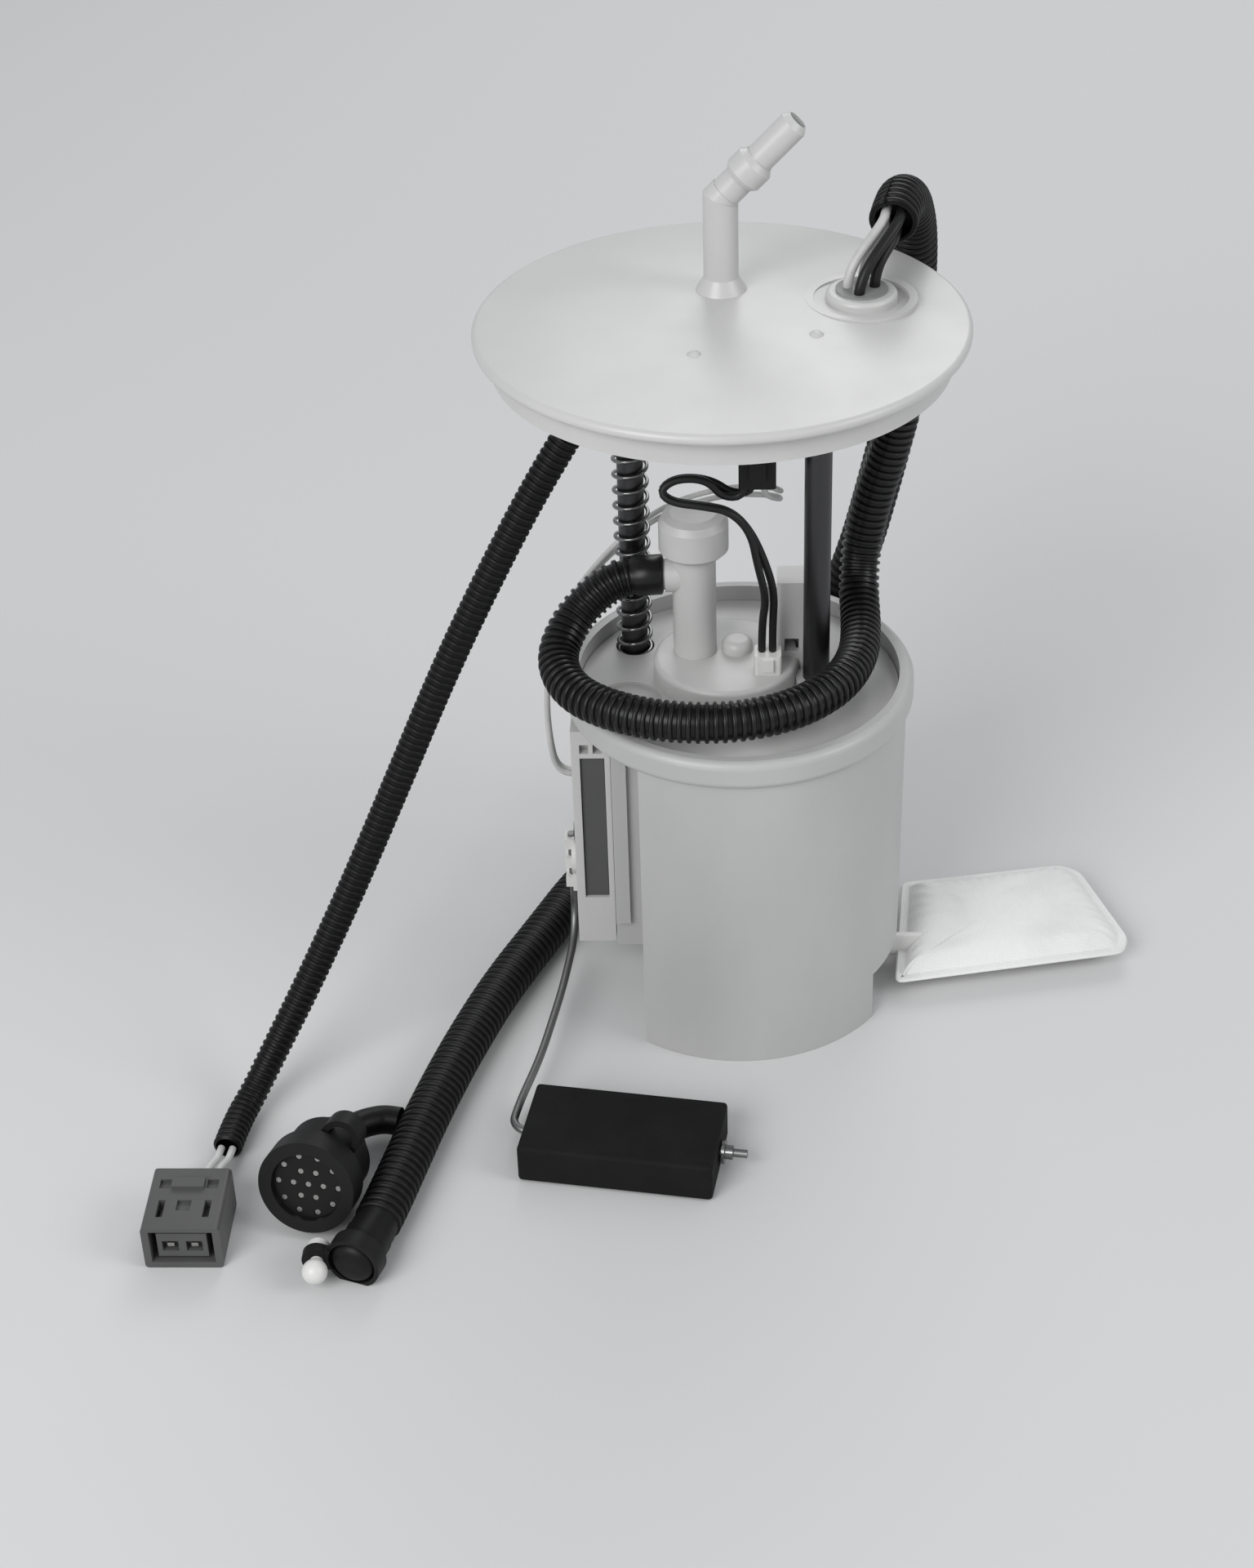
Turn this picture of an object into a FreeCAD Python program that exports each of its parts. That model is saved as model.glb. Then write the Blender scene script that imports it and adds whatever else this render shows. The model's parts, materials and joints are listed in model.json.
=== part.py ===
# In-tank fuel pump module: a cover flange on two guide rods above a sprung reservoir that holds
# the pump, with a level sender and its float, a suction strainer, a fuel hose and two looms.
# Millimetres. The origin is the centre of the reservoir's round base, on the surface it stands on.
# +Z is up, the float and both plugs lie towards -Y, and the strainer points to +X.
import FreeCAD, Part
import math
import os

os.makedirs("parts", exist_ok=True)
V = FreeCAD.Vector
UP = V(0, 0, 1)
TO_RIGHT = V(1, 0, 0)
TO_LEFT = V(-1, 0, 0)
TO_FRONT = V(0, -1, 0)

# Fits and walls shared by several pieces
running_gap = 0.05       # radial gap of a shaft or rod that slides or turns
loose_gap = 0.3          # gap round a piece that passes through without touching
wall = 2.2               # moulded wall of the reservoir
overlap = 0.5            # how far a moulded detail is rooted in its parent

# Reservoir cup: round body with a flat on its left side and a notch for the strainer
cup_height = 104.8
cup_radius = 47.2
cup_taper = 0.7          # the base is this much smaller in radius
cup_floor = 2.5
cup_flat_x = -27.7       # outer face of the flat
lip_overhang = 1.8
lip_depth = 8.6
lip_round = 2.2
rim_width = 4.0
notch_depth = 8.8        # how far the strainer's notch cuts into the round wall
notch_height = 15.8
foot_valve_x = 10.0
foot_valve_y = -28.0
foot_valve_radius = 6.0
stiffener_width = 1.6
stiffener_height = 60.0

# Lid that closes the cup a little below its rim
lid_sink = 4.8
lid_thickness = 2.5
lid_gap = 0.2
pump_cap_radius = 20.5
pump_cap_rise = 6.0
tower_left_x = 10.8
tower_width = 14.6
tower_depth = 9.6
tower_height = 30.0
tower_offset = 4.3       # from the right rod's axis back to the tower's front
tower_wall = 1.8
dish_x = -31.0
dish_y = -9.0
dish_radius = 9.5
overflow_x = -6.0
overflow_y = -23.0
overflow_radius = 5.6
dome_x = -0.4
dome_y = 8.0
dome_radius = 4.4
dome_height = 3.6

# Cover flange
flange_x = -4.0
flange_radius = 65.0
flange_rim_z = 210.9     # top of the rim
flange_dome = 2.9        # rise of the dome above the rim
flange_skin = 2.8
rim_thickness = 3.2
skirt_radius = 60.5
skirt_wall = 2.7
skirt_depth = 7.0

# Guide rods, the return spring and the travel that they allow
rod_radius = 3.7
left_rod_x = -29.8
left_rod_y = 20.0
right_rod_x = 21.6
right_rod_y = -1.0
socket_depth = 14.0
socket_wall = 2.4
guide_length = 9.0
travel = 28.0
clip_thickness = 1.2
clip_radius = 5.0
rod_tail = 4.0           # rod below its clip
spring_wire = 1.1
spring_radius = 4.7      # mean radius of the turns
spring_turns = 21

# Outlet spigot on the flange and its elbow below
spigot_y = 13.4
spigot_stem_radius = 4.6
spigot_rise = 28.1       # elbow above the rim
spigot_angle = 46.0
spigot_length = 28.5
spigot_tube_radius = 4.2
spigot_tip_radius = 3.95
spigot_bead_radius = 5.4
spigot_bead_length = 7.6
spigot_tip_length = 14.0
spigot_bore = 2.6
elbow_drop = 18.1        # lower elbow below the flange's underside
elbow_reach = 17.0
elbow_radius = 5.2

# Wire pass-through boss on the flange
boss_x = 32.5
boss_y = 7.8
boss_ring_radius = 14.7
boss_radius = 9.4
seal_radius = 6.8

# Header below the flange, and the plug that it takes
header_x = 5.2
header_y = -2.0
header_width = 13.0
header_depth = 17.0
header_drop = 20.1
inner_plug_width = 10.0
inner_plug_depth = 14.0
inner_plug_reach = 22.0  # plug's length outside the header

# Small loom's outlet below the flange
outlet_x = -37.5
outlet_y = -19.6
outlet_drop = 9.1
small_loom_radius = 4.1

# Outlet housing of the pump, with the check valve inside
housing_x = -12.3
housing_y = 8.0
housing_stem_radius = 6.1
housing_head_radius = 9.7
housing_head_rise = 38.0  # head's lower face above the lid
housing_head_height = 12.5
nipple_drop = 7.5        # nipple's axis below the head
nipple_reach = 14.0
nipple_radius = 3.9
nipple_collar_radius = 5.0
housing_bore = 3.3
barb_rise = 0.5
hose_radius = 5.7

# Pump
pump_x = -3.6
pump_y = 5.0
pump_radius = 18.0
pump_case_wall = 1.0
pump_stand = 21.5        # pump's lower end above the cup's floor
pump_drop = 5.5          # pump's upper end below the lid's underside
end_cap_height = 8.0
pump_plug_x = 4.4        # left face of the plug on the pump's terminals
pump_plug_y = -6.4
pump_plug_width = 7.4
pump_plug_depth = 6.8
pump_plug_height = 6.0
shaft_radius = 2.0
armature_radius = 11.6
magnet_wall = 3.6
impeller_height = 3.4

# Pressure regulator
regulator_angle = -52.43  # degrees about the cup's axis
regulator_inset = 12.2    # its axis inside the cup's inner wall
regulator_radius = 9.0
regulator_height = 30.0

# Level sender on the cup's flat
sender_right_x = -36.6
sender_left_x = -47.6
sender_front_y = -11.5
sender_back_y = 12.5
sender_bottom_z = 17.0
sender_drop = 5.2        # sender's top below the lip
rail_thickness = 3.2
rail_face_width = 4.2    # raised part of each rail beside the sender
rail_web = 1.4
card_thickness = 1.0
card_foot = 29.0         # card's lower edge above the sender's foot
card_drop = 6.0          # card's upper edge below the sender's top
terminal_rise = 47.0     # terminals above the sender's foot
pivot_y = 3.0
pivot_z = 39.0
pivot_radius = 2.4
arm_plane_x = -49.6
arm_wire_radius = 1.15
wiper_length = 18.5
wiper_lean = 32.0        # degrees forward of upright at rest

# Float
float_length = 54.0
float_depth = 28.0
float_thickness = 11.8
float_axis_z = 6.2
float_centre_x = -32.6
float_centre_y = -87.6
float_turn = -8.9        # degrees about the vertical
float_clip_radius = 3.4

# Strainer
bag_gap = -1.8           # bag's near edge against the cup's round wall
bag_thickness = 9.8
bag_bottom_z = 1.2
bag_seam = 1.4
neck_radius = 5.0
neck_z = 6.6

# Looms and plugs
loom_radius = 6.5
plug_radius = 13.4
plug_length = 27.0
plug_wall = 1.8
plug_cavity = 12.0       # depth of the open end
insert_height = 10.0
plug_pin_radius = 0.75
plug_centre = V(-116.0, -117.0, 16.0)
plug_rise = 14.0         # degrees that the mating face looks up
plug_turn = 12.0         # degrees that it looks to the left
branch_radius = 4.0
clip_x = -111.8
clip_y = -134.4          # front face of the strap's eye
clip_z = 6.4
clip_neck_radius = 1.7
clip_collar_radius = 3.0
clip_head_radius = 3.4
strap_thickness = 2.6
square_plug_x = -148.0
square_plug_front_y = -130.4
square_plug_width = 21.0
square_plug_depth = 23.4
square_plug_height = 14.0
square_plug_side_wall = 2.0
square_plug_top_wall = 1.4
square_plug_cavity = 11.0

# Heights and places that follow from the sizes above
lid_top_z = cup_height - lid_sink
lid_bottom_z = lid_top_z - lid_thickness
cup_inner_radius = cup_radius - wall
lip_radius = cup_radius + lip_overhang
shelf_z = cup_height - lip_depth
notch_x = cup_radius - notch_depth
bag_left_x = cup_radius + bag_gap
recess_radius = lip_radius - rim_width
flat_inner_x = cup_flat_x + wall
pump_cap_z = lid_top_z + pump_cap_rise
pump_bottom_z = cup_floor + pump_stand
pump_top_z = lid_bottom_z - pump_drop
sender_top_z = shelf_z - sender_drop
tower_front_y = right_rod_y + tower_offset
terminal_z = sender_bottom_z + terminal_rise
flange_apex_z = flange_rim_z + flange_dome
skirt_bottom_z = flange_rim_z - rim_thickness - skirt_depth
underside_z = flange_rim_z - flange_skin
socket_bottom_z = underside_z - socket_depth
spigot_bend_z = flange_rim_z + spigot_rise
elbow_z = underside_z - elbow_drop
header_bottom_z = underside_z - header_drop
inner_plug_bottom_z = header_bottom_z - inner_plug_reach
outlet_z = underside_z - outlet_drop
root_z = underside_z + flange_dome + overlap     # inside the dome's skin near its middle
guide_bottom_z = lid_top_z - guide_length
clip_top_z = guide_bottom_z - loose_gap
rod_bottom_z = clip_top_z - clip_thickness - rod_tail
pump_plug_top_z = pump_cap_z + pump_plug_height
housing_head_z = lid_top_z + housing_head_rise
housing_top_z = housing_head_z + housing_head_height
nipple_z = housing_head_z - nipple_drop
regulator_x = (cup_inner_radius - regulator_inset) * math.cos(math.radians(regulator_angle))
regulator_y = (cup_inner_radius - regulator_inset) * math.sin(math.radians(regulator_angle))
pump_mid = V(pump_x, pump_y, 0)
seal_top_z = flange_rim_z + flange_dome + 2.2


def cylinder(radius, height, base, direction=UP):
    return Part.makeCylinder(radius, height, base, direction)


def pipe_piece(outer, inner, height, base, direction=UP):
    return cylinder(outer, height, base, direction).cut(cylinder(inner, height, base, direction))


def block(low, high):
    return Part.makeBox(high[0] - low[0], high[1] - low[1], high[2] - low[2], V(*low))


def turned(outline, centre, axis=UP):
    """Turns an outline of (radius, height) points about an upright axis through centre."""
    corners = [V(r, 0, h) for r, h in outline]
    face = Part.Face(Part.makePolygon(corners + corners[:1]))
    shape = face.revolve(V(0, 0, 0), UP, 360)
    shape.Placement = FreeCAD.Placement(centre, FreeCAD.Rotation(UP, axis))
    return shape


def prism(points, low_z, height):
    """Upright prism over a plan outline of (x, y) points."""
    corners = [V(x, y, low_z) for x, y in points]
    return Part.Face(Part.makePolygon(corners + corners[:1])).extrude(V(0, 0, height))


def edges_near(shape, test):
    return [edge for edge in shape.Edges if test(edge.BoundBox)]


def fused(first, *others):
    shape = first.multiFuse(list(others)) if others else first
    return shape.removeSplitter()


def rounded_route(points):
    """Straight runs joined by tangent arcs, each as large as its two runs allow."""
    edges = []
    radii = []
    start = points[0]
    for before, corner, after in zip(points, points[1:], points[2:]):
        to_corner = corner - before
        from_corner = after - corner
        half_turn = to_corner.getAngle(from_corner) / 2
        setback = 0.45 * min(to_corner.Length, from_corner.Length)
        radii.append(setback / math.tan(half_turn))
        back = V(to_corner).normalize()
        on = V(from_corner).normalize()
        arc_start = corner - back * setback
        arc_end = corner + on * setback
        inward = (on - back).normalize()
        centre = corner + inward * (setback / math.sin(half_turn))
        arc_middle = centre - inward * radii[-1]
        if (arc_start - start).Length > 1e-6:
            edges.append(Part.LineSegment(start, arc_start).toShape())
        edges.append(Part.Arc(arc_start, arc_middle, arc_end).toShape())
        start = arc_end
    edges.append(Part.LineSegment(start, points[-1]).toShape())
    return Part.Wire(edges), radii


def tube(name, points, radius, bore=0.0):
    """A round cord, wire or hose along its route, checked against its section times its length."""
    route, radii = rounded_route(points)
    start, along = points[0], points[1] - points[0]
    section = Part.Wire([Part.makeCircle(radius, start, along)])
    shape = route.makePipeShell([section], True, False)
    if bore:
        hole = Part.Wire([Part.makeCircle(bore, start, along)])
        shape = shape.cut(route.makePipeShell([hole], True, False))
    expected = math.pi * (radius ** 2 - bore ** 2) * route.Length
    tightest = min(radii) if radii else 0.0
    print(f"{name}: length {route.Length:.1f}, tightest arc {tightest:.1f}"
          f" ({tightest / (2 * radius):.1f} diameters), volume ratio {shape.Volume / expected:.4f}")
    return shape


def save(name, shape):
    shape.exportStep(f"parts/{name}.step")


def reservoir_cup():
    body = Part.makeCone(cup_radius - cup_taper, cup_radius, cup_height, V(0, 0, 0))
    body = body.common(block((cup_flat_x, -lip_radius, 0), (lip_radius, lip_radius, cup_height)))
    lip = cylinder(lip_radius, lip_depth, V(0, 0, shelf_z))
    lip = lip.makeFillet(lip_round, edges_near(lip, lambda b: b.ZLength < 0.01))
    body = fused(body, lip)
    notch = block((notch_x, -cup_radius, -1), (cup_radius + 1, cup_radius, notch_height))
    body = body.cut(notch)

    hollow = Part.makeCone(cup_inner_radius - cup_taper, cup_inner_radius, cup_height,
                           V(0, 0, cup_floor))
    hollow = hollow.common(block((flat_inner_x, -lip_radius, cup_floor),
                                 (lip_radius, lip_radius, cup_height + 1)))
    hollow = hollow.cut(block((notch_x - wall, -cup_radius, 0),
                              (cup_radius, cup_radius, notch_height + wall)))
    recess = cylinder(recess_radius, cup_height, V(0, 0, lid_bottom_z))
    body = body.cut(hollow).cut(recess)

    rod = V(left_rod_x, left_rod_y, 0)
    sleeve_radius = clip_radius + loose_gap + 1.2
    sleeve_bottom = rod_bottom_z - travel - 4
    sleeve = cylinder(sleeve_radius, lid_bottom_z - sleeve_bottom, rod + V(0, 0, sleeve_bottom))
    rail_x = sender_right_x + loose_gap
    rails = []
    for side, y in ((-1, sender_front_y - loose_gap), (1, sender_back_y + loose_gap)):
        far_y = y + side * rail_thickness
        web_y = y + side * rail_web
        rails.append(block((rail_x, min(y, far_y), sender_bottom_z + 9),
                           (rail_x + rail_face_width, max(y, far_y), shelf_z + overlap)))
        rails.append(block((rail_x, min(y, web_y), sender_bottom_z + 2),
                           (cup_flat_x + overlap, max(y, web_y), shelf_z + overlap)))
    ledge = block((rail_x, sender_front_y - loose_gap - rail_web, sender_bottom_z),
                  (cup_flat_x + overlap, sender_back_y, sender_bottom_z + 5))
    body = fused(body, sleeve, ledge, *rails)
    body = body.cut(cylinder(clip_radius + loose_gap, guide_bottom_z - sleeve_bottom,
                             rod + V(0, 0, sleeve_bottom)))
    body = body.cut(cylinder(rod_radius + running_gap, cup_height, rod + V(0, 0, guide_bottom_z - 1)))
    neck_hole = cylinder(neck_radius + running_gap, 3 * wall, V(notch_x - 2 * wall, 0, neck_z),
                         TO_RIGHT)
    foot_hole = cylinder(foot_valve_radius - 1.5, 2 * cup_floor, V(foot_valve_x, foot_valve_y, -1))
    body = body.cut(neck_hole).cut(foot_hole)
    # Three upright ribs stiffen the front wall inside.
    ribs = []
    for angle in (-125, -95, -65):
        turn = FreeCAD.Rotation(UP, angle)
        rib = Part.makeBox(3, stiffener_width, stiffener_height,
                           V(cup_inner_radius - cup_taper - 2, -stiffener_width / 2, cup_floor))
        rib.Placement = FreeCAD.Placement(V(0, 0, 0), turn)
        ribs.append(rib)
    return fused(body, *ribs)


def reservoir_lid():
    radius = recess_radius - lid_gap
    plate = cylinder(radius, lid_thickness, V(0, 0, lid_bottom_z))
    cap = cylinder(pump_cap_radius, pump_cap_rise + lid_thickness, pump_mid + V(0, 0, lid_bottom_z))
    cap = cap.makeFillet(1.5, edges_near(cap, lambda b: b.ZMin > pump_cap_z - 0.01))
    skirt = cylinder(pump_radius + 1.6, lid_bottom_z - pump_top_z + 12,
                     pump_mid + V(0, 0, pump_top_z - 12))
    rod = V(right_rod_x, right_rod_y, 0)
    collar = cylinder(clip_radius + 1, lid_top_z - guide_bottom_z, rod + V(0, 0, guide_bottom_z))
    neck = cylinder(rod_radius + 2, 3, rod + V(0, 0, lid_top_z - overlap))
    tower = block((tower_left_x, tower_front_y, lid_bottom_z),
                  (tower_left_x + tower_width, tower_front_y + tower_depth,
                   lid_top_z + tower_height))
    tower = tower.makeFillet(1.0, edges_near(tower, lambda b: b.ZLength > tower_height))
    regulator_ring = cylinder(regulator_radius + 2.4, 8,
                              V(regulator_x, regulator_y, lid_bottom_z - 8))
    # The shallow dish on the left drains spilled fuel back to the cup.
    dish = cylinder(dish_radius, 1.2, V(dish_x, dish_y, lid_top_z - 1.2))
    # A small domed cover over the pump's vent stands on the cap.
    vent_dome = cylinder(dome_radius, dome_height + overlap, V(dome_x, dome_y, pump_cap_z - overlap))
    vent_dome = vent_dome.makeFillet(2.2, edges_near(vent_dome, lambda b: b.ZMin > pump_cap_z + 1))
    lid = fused(plate, cap, skirt, collar, neck, tower, regulator_ring, vent_dome).cut(dish)

    lid = lid.cut(cylinder(pump_radius + loose_gap, pump_top_z + 1.2 - (pump_top_z - 13),
                           pump_mid + V(0, 0, pump_top_z - 13)))
    lid = lid.cut(cylinder(rod_radius + running_gap, 60, rod + V(0, 0, guide_bottom_z - 1)))
    left_rod = V(left_rod_x, left_rod_y, lid_bottom_z - 1)
    lid = lid.cut(cylinder(spring_radius + spring_wire / 2 + loose_gap, 2 * lid_thickness, left_rod))
    lid = lid.cut(cylinder(housing_stem_radius + running_gap, 30,
                           V(housing_x, housing_y, pump_top_z)))
    lid = lid.cut(cylinder(regulator_radius + 0.6, 9,
                           V(regulator_x, regulator_y, lid_bottom_z - 8.5)))
    window = block((tower_left_x + 2, tower_front_y - 1, lid_top_z + 8),
                   (tower_left_x + 6, tower_front_y + tower_wall + 1, lid_top_z + 12))
    hollow = block((tower_left_x + tower_wall, tower_front_y + tower_wall, lid_bottom_z - 1),
                   (tower_left_x + tower_width - tower_wall, tower_front_y + tower_depth - tower_wall,
                    lid_top_z + tower_height - tower_wall))
    hollow = hollow.cut(cylinder(pump_radius + 1.6, 20, pump_mid + V(0, 0, pump_top_z - 4)))
    # The overflow mouth lets fuel that fills the cup run back to the tank.
    overflow = cylinder(overflow_radius, 10, V(overflow_x, overflow_y, lid_bottom_z - 1))
    return lid.cut(window).cut(hollow).cut(overflow)


def outlet_housing():
    centre = V(housing_x, housing_y, 0)
    base_z = pump_top_z + 4
    stem = cylinder(housing_stem_radius, housing_head_z - base_z + 1, centre + V(0, 0, base_z))
    head = turned([(0, housing_head_z), (housing_head_radius - 1.2, housing_head_z),
                   (housing_head_radius, housing_head_z + 1.2),
                   (housing_head_radius, housing_top_z - 3.4),
                   (housing_head_radius - 1.0, housing_top_z - 1.4),
                   (housing_head_radius - 3.2, housing_top_z - 0.3), (0, housing_top_z)], centre)
    nipple = cylinder(nipple_radius, nipple_reach, centre + V(0, 0, nipple_z), TO_LEFT)
    collar = cylinder(nipple_collar_radius, housing_stem_radius + 1.9, centre + V(0, 0, nipple_z), TO_LEFT)
    barbs = []
    for reach in (nipple_reach - 3.0, nipple_reach - 6.0):
        barbs.append(Part.makeCone(nipple_radius, nipple_radius + barb_rise, 2.0,
                                   centre + V(-reach - 2.0, 0, nipple_z), TO_RIGHT))
    bore = cylinder(housing_bore, nipple_z + 2 - base_z, centre + V(0, 0, base_z))
    side_bore = cylinder(nipple_radius - 1.4, nipple_reach + 1, centre + V(0, 0, nipple_z), TO_LEFT)
    ring = pipe_piece(housing_bore + overlap, housing_bore - 1.3, 2, centre + V(0, 0, base_z + 10))
    return fused(stem, head, nipple, collar, *barbs).cut(bore).cut(side_bore).fuse(ring).removeSplitter()


def check_valve():
    """Poppet that gravity and its spring hold on the seat until the pump lifts it."""
    centre = V(housing_x, housing_y, 0)
    seat_z = pump_top_z + 4 + 12
    cone = Part.makeCone(housing_bore - 1.6, housing_bore - 0.4, 1.4, centre + V(0, 0, seat_z + 0.02))
    stem = cylinder(1.0, 6.0, centre + V(0, 0, seat_z + 1.4))
    return fused(cone, stem)


def pump_case():
    height = pump_top_z - pump_bottom_z - end_cap_height
    base = pump_mid + V(0, 0, pump_bottom_z + end_cap_height / 2)
    return pipe_piece(pump_radius, pump_radius - pump_case_wall, height, base)


def pump_inlet_cover():
    inner = pump_radius - pump_case_wall
    low = pump_mid + V(0, 0, pump_bottom_z)
    disc = cylinder(inner, end_cap_height, low)
    flange = cylinder(pump_radius, end_cap_height / 2, low)
    port = cylinder(neck_radius - 1.6, 7, pump_mid + V(0, 0, pump_bottom_z - 6.5))
    shape = fused(disc, flange, port)
    shape = shape.cut(cylinder(neck_radius - 2.8, 11, pump_mid + V(0, 0, pump_bottom_z - 7)))
    chamber_z = pump_bottom_z + end_cap_height - impeller_height - 2 * loose_gap
    return shape.cut(cylinder(inner - 2, 10, pump_mid + V(0, 0, chamber_z)))


def pump_impeller():
    """Regenerative impeller: a disc with pockets cut round both edges of its rim."""
    radius = pump_radius - pump_case_wall - 2 - loose_gap
    base_z = pump_bottom_z + end_cap_height - impeller_height - loose_gap
    disc = cylinder(radius, impeller_height, pump_mid + V(0, 0, base_z))
    pockets = []
    count = 24
    for index in range(count):
        angle = math.radians(360 * index / count)
        centre = pump_mid + V((radius - 1.8) * math.cos(angle), (radius - 1.8) * math.sin(angle), 0)
        pocket = Part.makeBox(2.6, 1.6, impeller_height + 2, V(-1.3, -0.8, 0))
        pocket.Placement = FreeCAD.Placement(centre + V(0, 0, base_z - 1),
                                             FreeCAD.Rotation(UP, 360 * index / count))
        pockets.append(pocket)
    return disc.cut(Part.makeCompound(pockets)).cut(
        cylinder(shaft_radius, 2 * impeller_height, pump_mid + V(0, 0, base_z - 1)))


def pump_bearing_plate():
    """Plate above the impeller that carries the lower shaft bush."""
    inner = pump_radius - pump_case_wall
    base_z = pump_bottom_z + end_cap_height
    return pipe_piece(inner, shaft_radius + running_gap, 3.2, pump_mid + V(0, 0, base_z))


def pump_top_cover():
    inner = pump_radius - pump_case_wall
    top = pump_mid + V(0, 0, pump_top_z - end_cap_height)
    disc = cylinder(inner, end_cap_height, top)
    flange = cylinder(pump_radius, end_cap_height / 2, pump_mid + V(0, 0, pump_top_z - end_cap_height / 2))
    port = cylinder(housing_bore - 0.1, 12, V(housing_x, housing_y, pump_top_z - overlap))
    shape = fused(disc, flange, port)
    shape = shape.cut(cylinder(shaft_radius + running_gap, 6, top + V(0, 0, -1)))
    shape = shape.cut(cylinder(1.8, 30, V(housing_x, housing_y, pump_top_z - end_cap_height - 1)))
    brush_y = pump_y
    for side in (-1, 1):
        slot = block((pump_x + side * 7.2 - 1.6, brush_y - 2.6, pump_top_z - end_cap_height - 1),
                     (pump_x + side * 7.2 + 1.6, brush_y + 2.6, pump_top_z - 3))
        shape = shape.cut(slot)
    return shape


def pump_brushes():
    low = pump_top_z - end_cap_height - 3
    brushes = []
    for side in (-1, 1):
        brushes.append(block((pump_x + side * 7.2 - 1.5, pump_y - 2.5, low),
                             (pump_x + side * 7.2 + 1.5, pump_y + 2.5, low + 6.5)))
    return Part.makeCompound(brushes)


def pump_magnets():
    inner = pump_radius - pump_case_wall
    low = pump_bottom_z + end_cap_height + 6
    height = pump_top_z - end_cap_height - 12 - low
    ring = pipe_piece(inner, inner - magnet_wall, height, pump_mid + V(0, 0, low))
    gap = block((pump_x - 3, pump_y - inner - 1, low - 1),
                (pump_x + 3, pump_y + inner + 1, low + height + 1))
    return ring.cut(gap)


def motor_shaft():
    low = pump_bottom_z + end_cap_height - impeller_height - loose_gap
    return cylinder(shaft_radius, pump_top_z - end_cap_height + 4 - low, pump_mid + V(0, 0, low))


def armature():
    """Slotted lamination stack of the motor."""
    low = pump_bottom_z + end_cap_height + 8
    height = pump_top_z - end_cap_height - 16 - low
    stack = cylinder(armature_radius, height, pump_mid + V(0, 0, low))
    slots = []
    for index in range(8):
        slot = Part.makeBox(5.5, 2.2, height + 2, V(armature_radius - 4.5, -1.1, 0))
        slot.Placement = FreeCAD.Placement(pump_mid + V(0, 0, low - 1), FreeCAD.Rotation(UP, 45 * index))
        slots.append(slot)
    return stack.cut(Part.makeCompound(slots)).cut(
        cylinder(shaft_radius, height + 2, pump_mid + V(0, 0, low - 1)))


def commutator():
    top = pump_top_z - end_cap_height - 3 - loose_gap
    return pipe_piece(9.6, shaft_radius, 3.6, pump_mid + V(0, 0, top - 3.6))


def pump_isolator():
    """Rubber boot that keeps the pump's hum out of the cup."""
    low = pump_bottom_z + 8
    boot = pipe_piece(pump_radius + 1.8, pump_radius, 16, pump_mid + V(0, 0, low))
    rings = [Part.makeTorus(pump_radius + 1.8, 0.9, pump_mid + V(0, 0, low + h), UP) for h in (4, 12)]
    return fused(boot, *[r.cut(cylinder(pump_radius, 30, pump_mid + V(0, 0, low - 2))) for r in rings])


def pump_cradle():
    """Moulded seat on the cup's floor that carries the pump at its lower end."""
    ring = pipe_piece(pump_radius + 1.6, pump_radius - 3, 3, pump_mid + V(0, 0, pump_bottom_z - 3))
    legs = []
    for angle in (55, 145, 235, 305):
        away = V(math.cos(math.radians(angle)), math.sin(math.radians(angle)), 0)
        legs.append(cylinder(2.4, pump_bottom_z - 2 - cup_floor,
                             pump_mid + away * (pump_radius - 1) + V(0, 0, cup_floor)))
    return fused(ring, *legs)


def pressure_regulator():
    centre = V(regulator_x, regulator_y, 0)
    top = lid_bottom_z - 1.5
    return turned([(0, top), (regulator_radius - 1, top), (regulator_radius, top - 1),
                   (regulator_radius, top - 9), (regulator_radius + 1.4, top - 10),
                   (regulator_radius + 1.4, top - 12), (regulator_radius - 1, top - 13),
                   (regulator_radius - 1, top - regulator_height + 6),
                   (4.0, top - regulator_height + 4), (4.0, top - regulator_height),
                   (0, top - regulator_height)], centre)


def regulator_seal():
    centre = V(regulator_x, regulator_y, 0)
    top = lid_bottom_z - 4.5
    return pipe_piece(regulator_radius + 0.6, regulator_radius, 1.6, centre + V(0, 0, top))


def foot_valve():
    """Rubber umbrella valve that fills the cup through its floor."""
    centre = V(foot_valve_x, foot_valve_y, 0)
    return turned([(0, cup_floor - 1.2), (foot_valve_radius - 1.6, cup_floor - 1.2),
                   (foot_valve_radius - 1.6, cup_floor), (foot_valve_radius, cup_floor),
                   (foot_valve_radius, cup_floor + 0.6), (2.0, cup_floor + 2.2),
                   (0, cup_floor + 2.4)], centre)


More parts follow.
